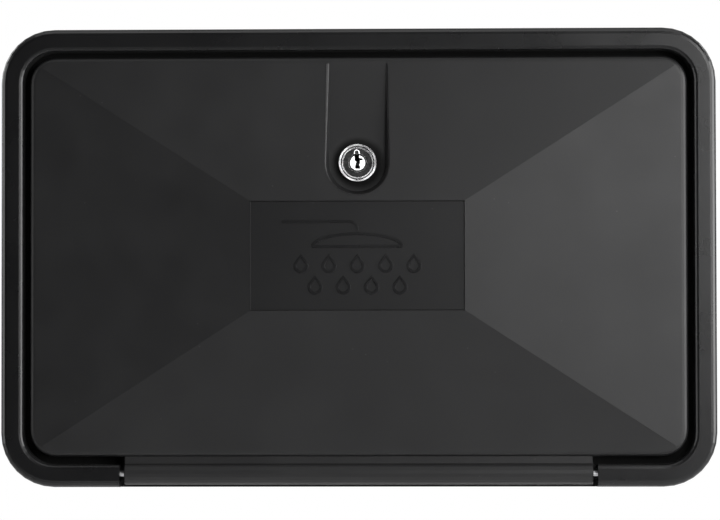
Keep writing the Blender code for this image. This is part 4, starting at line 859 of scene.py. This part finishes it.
def make_recess_edge(finishes):
    """Raised lip of the recess: a small step outside, sloping inwards, then rolled over its edge."""
    low, high = box("lock_barrel")
    centre_z = (low.z + high.z) / 2
    top = box("door")[1].z - EDGE_TOP_DROP
    floor_y = box("door")[0].y + RECESS_FLOOR_SUNK
    slope = math.tan(math.radians(RECESS_DRAFT_DEG))
    rise = math.tan(math.radians(EDGE_SLOPE_DEG))
    bm = bmesh.new()
    loops = []
    for out_x, out_z, z in recess_path(top, centre_z):
        reach = RECESS_RADIUS
        for _ in range(EDGE_PASSES):
            reach = RECESS_RADIUS + slope * (floor_y - facet_y(z + out_z * reach))
        edge_y = facet_y(z + out_z * reach)
        narrowing = 1.0 - EDGE_TAPER * (top - z) / (top - centre_z)
        width = (EDGE_WIDTH - EDGE_WIDTH_SWING * out_x) * narrowing
        section = [(width + EDGE_STEP, EDGE_STEP), (width, -width * rise)] + rolled_edge(slope)
        loop = []
        for away, deep in section:
            far = reach + away
            loop.append(bm.verts.new((out_x * far, edge_y + deep, z + out_z * far)))
        loops.append(loop)
    skin(bm, loops)
    edge = mesh_of(bm, "recess_edge")
    add_piece("recess_edge", edge, "door_leaf", finishes["edge_plastic"], EDGE_SMOOTH_DEG)


# Lock

def head_profile(face, groove, sunk):
    """Head of the lock from its back inwards, with two slightly crowned rings."""
    crown = math.tan(math.radians(LOCK_CROWN_DEG))
    rim = LOCK_RADIUS - LOCK_CHAMFER
    return [
        (LOCK_RADIUS, FIT_GAP),
        (LOCK_RADIUS, face - 2 * LOCK_CHAMFER),
        (rim, face - crown * (rim - LOCK_RING)),
        (LOCK_RING, face),
        (LOCK_RING, groove),
        (LOCK_SECOND, groove),
        (LOCK_SECOND, face - crown * (LOCK_SECOND - LOCK_INSERT)),
        (LOCK_INSERT + LOCK_CHAMFER / 2, face),
        (LOCK_INSERT, sunk),
        (LOCK_BORE, sunk),
    ]


def insert_profile(outer, inner, height):
    """Thin dark ring that lies on a floor of the head."""
    return [
        (outer - INSERT_GAP, height - INSERT_DEPTH),
        (outer - INSERT_GAP, height + INSERT_PROUD),
        (inner + INSERT_GAP, height + INSERT_PROUD),
        (inner + INSERT_GAP, height - INSERT_DEPTH),
    ]


def make_lock_head(finishes):
    """The barrel with its two rings and their dark floors, and a threaded body with two flats."""
    low, high = box("lock_barrel")
    centre = (low + high) / 2
    length = high.y - low.y - LOCK_FACE
    groove = LOCK_FACE - LOCK_GROOVE
    sunk = LOCK_FACE - LOCK_INSERT_SUNK
    head = head_profile(LOCK_FACE, groove, sunk)
    body = []
    for step in range(int(length / LOCK_THREAD_PITCH * LOCK_THREAD_POINTS) + 1):
        body.append((LOCK_BODY_RADIUS, -length + step * LOCK_THREAD_PITCH / LOCK_THREAD_POINTS))
    profile = head + [(LOCK_BORE, -length)] + body

    def reach(angle, radius, index):
        if index <= len(head):
            return radius
        turn = (profile[index][1] / LOCK_THREAD_PITCH - angle / math.tau) % 1.0
        crest = radius - LOCK_THREAD_DEPTH * abs(2 * turn - 1)
        return min(crest, LOCK_BODY_HALF_FLATS / max(abs(math.cos(angle)), TINY))

    place = (centre.x, low.y + LOCK_FACE, centre.z)
    mesh = facing(turned_mesh("lock_head", profile, LOCK_STEPS, reach), place, TO_FRONT)
    piece = add_piece("lock_head", mesh, "door_leaf", finishes["lock_chrome"], LOCK_SMOOTH_DEG)
    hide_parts("lock_barrel")
    for name, outer, inner, height in (
        ("lock_insert", LOCK_INSERT, LOCK_BORE, sunk),
        ("lock_groove", LOCK_RING, LOCK_SECOND, groove),
    ):
        mesh = turned_mesh(name, insert_profile(outer, inner, height), LOCK_STEPS)
        add_piece(name, facing(mesh, place, TO_FRONT), "door_leaf", finishes["lock_cast"])


def make_lock_notch(finishes):
    """Raised frame of the index notch over the keyway."""
    low, high = box("lock_barrel")
    centre = (low + high) / 2
    half = NOTCH_HALF_WIDTH
    foot = LOCK_BORE - NOTCH_FOOT_LAP
    points = [(half, foot)]
    points += arc_points((0.0, NOTCH_TOP - half), half, 0.0, 180.0, NOTCH_STEPS)
    points.append((-half, foot))
    line = [(x + centre.x + NOTCH_ASIDE, z + centre.z) for x, z in points]
    bm = bmesh.new()
    bead(bm, line, low.y + LOCK_INSERT_SUNK, NOTCH_LINE, NOTCH_PROUD)
    notch = mesh_of(bm, "lock_notch")
    add_piece("lock_notch", notch, "door_leaf", finishes["lock_chrome"], NOTCH_SMOOTH_DEG)


def make_lock_plug(finishes):
    """The turning plug, its keyway cut open to the notch."""
    low, high = box("lock_plug")
    centre = (low + high) / 2
    radius = (high.x - low.x) / 2
    floor_y = low.y + KEYWAY_DEPTH
    shoulder_y = box("lock_barrel")[1].y + FIT_GAP
    left = [(x / MM_PER_METRE, z / MM_PER_METRE) for z, x, _ in reversed(KEYWAY_ROWS)]
    right = [(x / MM_PER_METRE, z / MM_PER_METRE) for z, _, x in KEYWAY_ROWS]
    bm = bmesh.new()
    loops = []
    for far, y in (
        (radius - PLUG_EDGE, low.y),
        (radius, low.y + PLUG_EDGE_DEPTH),
        (radius, floor_y),
    ):
        start = math.degrees(math.acos(right[-1][0] / far))
        end = math.degrees(math.acos(left[0][0] / far)) - 360.0
        outline = left + right + arc_points((0.0, 0.0), far, start, end, PLUG_STEPS)
        loops.append([bm.verts.new((x + centre.x, y, z + centre.z)) for x, z in outline])
    skin(bm, loops)
    rear = [
        (PLUG_SCREW_HOLE, floor_y - PLUG_LAP),
        (radius, floor_y - PLUG_LAP),
        (radius, shoulder_y),
        (PLUG_TAIL_RADIUS, shoulder_y),
        (PLUG_TAIL_RADIUS, high.y),
        (PLUG_SCREW_HOLE, high.y),
    ]
    tail = turned_mesh("plug_tail", rear, PLUG_STEPS)
    join_mesh(bm, facing(tail, (centre.x, 0.0, centre.z), TO_BACK))
    plug = mesh_of(bm, "lock_plug_cut")
    piece = add_piece("lock_plug_cut", plug, "lock_core", finishes["plug_chrome"])
    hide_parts("lock_plug")


# Threads and knobs

def make_shank_threads(finishes):
    """The threaded shanks of the faucet."""
    for side in SIDES:
        low, high = box(side + "_shank")
        place = ((low.x + high.x) / 2, 0.0, (low.z + high.z) / 2)
        mesh = threaded_mesh(side + "_thread", (high.z - low.z) / 2, low.y, high.y)
        facing(mesh, place, TO_BACK)
        name = side + "_shank_threaded"
        piece = add_piece(name, mesh, "case", finishes["brass"], THREAD_SMOOTH_DEG)
        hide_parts(side + "_shank")


def make_hose_threads(finishes):
    """Threads for the hose, on the vacuum breaker and on the hand shower's tail."""
    low, high = box("vacuum_breaker")
    end = high.z - low.z - END_THREAD_INSET
    mesh = threaded_mesh("hose_thread", HOSE_THREAD_CREST, end - HOSE_THREAD_LENGTH, end)
    facing(mesh, ((low.x + high.x) / 2, (low.y + high.y) / 2, high.z), TO_GROUND)
    add_piece("hose_thread", mesh, "case", finishes["chrome"], THREAD_SMOOTH_DEG)
    low, high = box("hand_shower_body")
    start = END_THREAD_INSET
    mesh = threaded_mesh("tail_thread", TAIL_THREAD_CREST, start, start + TAIL_THREAD_LENGTH)
    facing(mesh, (low.x, low.y + HANDLE_RADIUS, (low.z + high.z) / 2), TO_RIGHT)
    add_piece("tail_thread", mesh, "case", finishes["grip_plastic"], THREAD_SMOOTH_DEG)


def knob_profile(radius, cap_hole, stem_end):
    """Points (radius, height over the knob's back), and the indexes of those that the lobes shape."""
    face = KNOB_LENGTH
    seat = face - KNOB_CAP_SEAT
    shelf = stem_end + KNOB_SHELF
    roof = stem_end - KNOB_ROOF_DROP
    cavity = radius * KNOB_CAVITY_SHARE
    boss = KNOB_BORE + KNOB_BOSS_WALL
    pocket = [
        (KNOB_SCREW_HOLE, shelf),
        (KNOB_SCREW_POCKET, shelf),
        (KNOB_SCREW_POCKET, seat),
        (cap_hole, seat),
        (cap_hole, face - KNOB_CAP_CHAMFER),
        (cap_hole + KNOB_CAP_CHAMFER, face),
    ]
    crown = [(radius * share, face - drop) for share, drop in KNOB_CROWN]
    foot = [(radius - KNOB_FOOT_INSET, KNOB_FOOT_HEIGHT), (radius - 2 * KNOB_FOOT_INSET, 0.0)]
    hollow = [
        (cavity, 0.0),
        (cavity, roof),
        (boss, roof),
        (boss, 0.0),
        (KNOB_BORE, 0.0),
        (KNOB_BORE, stem_end),
        (KNOB_SCREW_HOLE, stem_end),
    ]
    lobed = range(len(pocket) + KNOB_LOBED_FROM, len(pocket) + len(crown) + len(foot))
    return pocket + crown + foot + hollow, lobed


def make_knobs(finishes):
    """Lobed knobs with a rounded crown, hollow behind."""
    for side in SIDES:
        low, high = box(side + "_knob")
        cap_low, cap_high = box(side + "_index_cap")
        cap_hole = (cap_high.x - cap_low.x) / 2 + FIT_GAP
        stem_end = high.y - box(side + "_stem")[0].y + FIT_GAP
        profile, lobed = knob_profile((high.x - low.x) / 2, cap_hole, stem_end)

        def reach(angle, far, index):
            if index in lobed:
                return far + KNOB_LOBE * (math.cos(KNOB_LOBES * angle) - 1.0) / 2
            return far

        name = side + "_knob_turned"
        place = ((low.x + high.x) / 2, high.y, (low.z + high.z) / 2)
        mesh = facing(turned_mesh(name, profile, KNOB_STEPS, reach), place, TO_FRONT)
        piece = add_piece(name, mesh, side + "_valve", finishes["chrome"], KNOB_SMOOTH_DEG)
        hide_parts(side + "_knob")


# Stage, light and camera

def make_floor():
    """Pale floor with a soft outer edge, seen only from above."""
    bm = bmesh.new()
    bmesh.ops.create_grid(bm, x_segments=1, y_segments=1, size=FLOOR_HALF)
    mesh = bpy.data.meshes.new("floor")
    bm.to_mesh(mesh)
    bm.free()
    floor = bpy.data.objects.new("floor", mesh)
    floor.location = (0.0, 0.0, FLOOR_Z)
    bpy.context.collection.objects.link(floor)
    material, tree, shader = new_material("floor_card", FLOOR_ROUGHNESS)
    shade = clouded(tree, noise(tree, FLOOR_CLOUD), (0.0, 1.0), FLOOR_DARK, FLOOR_PALE)
    tree.links.new(shade, shader.inputs["Base Color"])
    away = length_of(tree, object_coordinates(tree))
    faded = remap(tree, away, *FLOOR_FADE, 1.0, 0.0)
    side = tree.nodes.new("ShaderNodeNewGeometry")
    above = remap(tree, side.outputs["Backfacing"], 0.0, 1.0, 1.0, 0.0)
    tree.links.new(combine(tree, "MULTIPLY", faded, above), shader.inputs["Alpha"])
    mesh.materials.append(material)


def make_world():
    """White for the camera, and a dim world with a pale room that only gloss mirrors.

    The room lies to the sides, behind and below, not straight before the door or above it.
    """
    world = bpy.data.worlds.new("studio")
    bpy.context.scene.world = world
    world.use_nodes = True
    tree = world.node_tree
    sky = tree.nodes["Background"]
    sky.inputs["Color"].default_value = WHITE
    rays = tree.nodes.new("ShaderNodeLightPath")
    coordinates = tree.nodes.new("ShaderNodeTexCoord")
    axes = tree.nodes.new("ShaderNodeSeparateXYZ")
    tree.links.new(coordinates.outputs["Generated"], axes.inputs["Vector"])
    away = remap(tree, axes.outputs["Y"], *ROOM_EDGE, 0.0, 1.0)
    below = remap(tree, axes.outputs["Z"], *ROOM_LOW_EDGE, ROOM_LOW_SHARE, 0.0)
    either = combine(tree, "MAXIMUM", away, below)
    mirrored = combine(tree, "MULTIPLY", either, rays.outputs["Is Glossy Ray"])
    room = remap(tree, mirrored, 0.0, 1.0, WORLD_LIGHT, ROOM_LIGHT)
    tree.links.new(value_to(tree, rays.outputs["Is Camera Ray"], room, 1.0), sky.inputs["Strength"])


def add_lamp(name, place, width, height, watts):
    """A soft rectangular lamp that looks at the part and isn't seen itself."""
    lamp = bpy.data.lights.new(name, "AREA")
    lamp.shape = "RECTANGLE"
    lamp.size = width
    lamp.size_y = height
    lamp.energy = watts
    holder = bpy.data.objects.new(name, lamp)
    holder.location = place
    holder.rotation_mode = "QUATERNION"
    holder.rotation_quaternion = (-Vector(place)).to_track_quat("-Z", "Y")
    holder.visible_camera = False
    bpy.context.collection.objects.link(holder)


def make_camera():
    """The camera at the photograph's place."""
    data = bpy.data.cameras.new("camera")
    data.lens = LENS_MM
    data.sensor_width = SENSOR_MM
    data.sensor_fit = "HORIZONTAL"
    camera = bpy.data.objects.new("camera", data)
    turn = Matrix.Rotation(math.radians(CAMERA_YAW_DEG), 4, "Z")
    turn = turn @ Matrix.Rotation(math.radians(90.0 + CAMERA_PITCH_DEG), 4, "X")
    turn = turn @ Matrix.Rotation(math.radians(CAMERA_ROLL_DEG), 4, "Z")
    camera.matrix_world = Matrix.Translation(CAMERA_PLACE) @ turn
    bpy.context.collection.objects.link(camera)
    bpy.context.scene.camera = camera


def build():
    """The whole scene."""
    finishes = make_finishes()
    finish_nodes(finishes)
    make_sign(finishes)
    make_recess_edge(finishes)
    make_lock_head(finishes)
    make_lock_plug(finishes)
    make_lock_notch(finishes)
    make_shank_threads(finishes)
    make_hose_threads(finishes)
    make_knobs(finishes)
    make_floor()
    make_world()
    for lamp in LAMPS:
        add_lamp(*lamp)
    make_camera()
    bpy.context.scene.view_settings.view_transform = "Standard"


build()
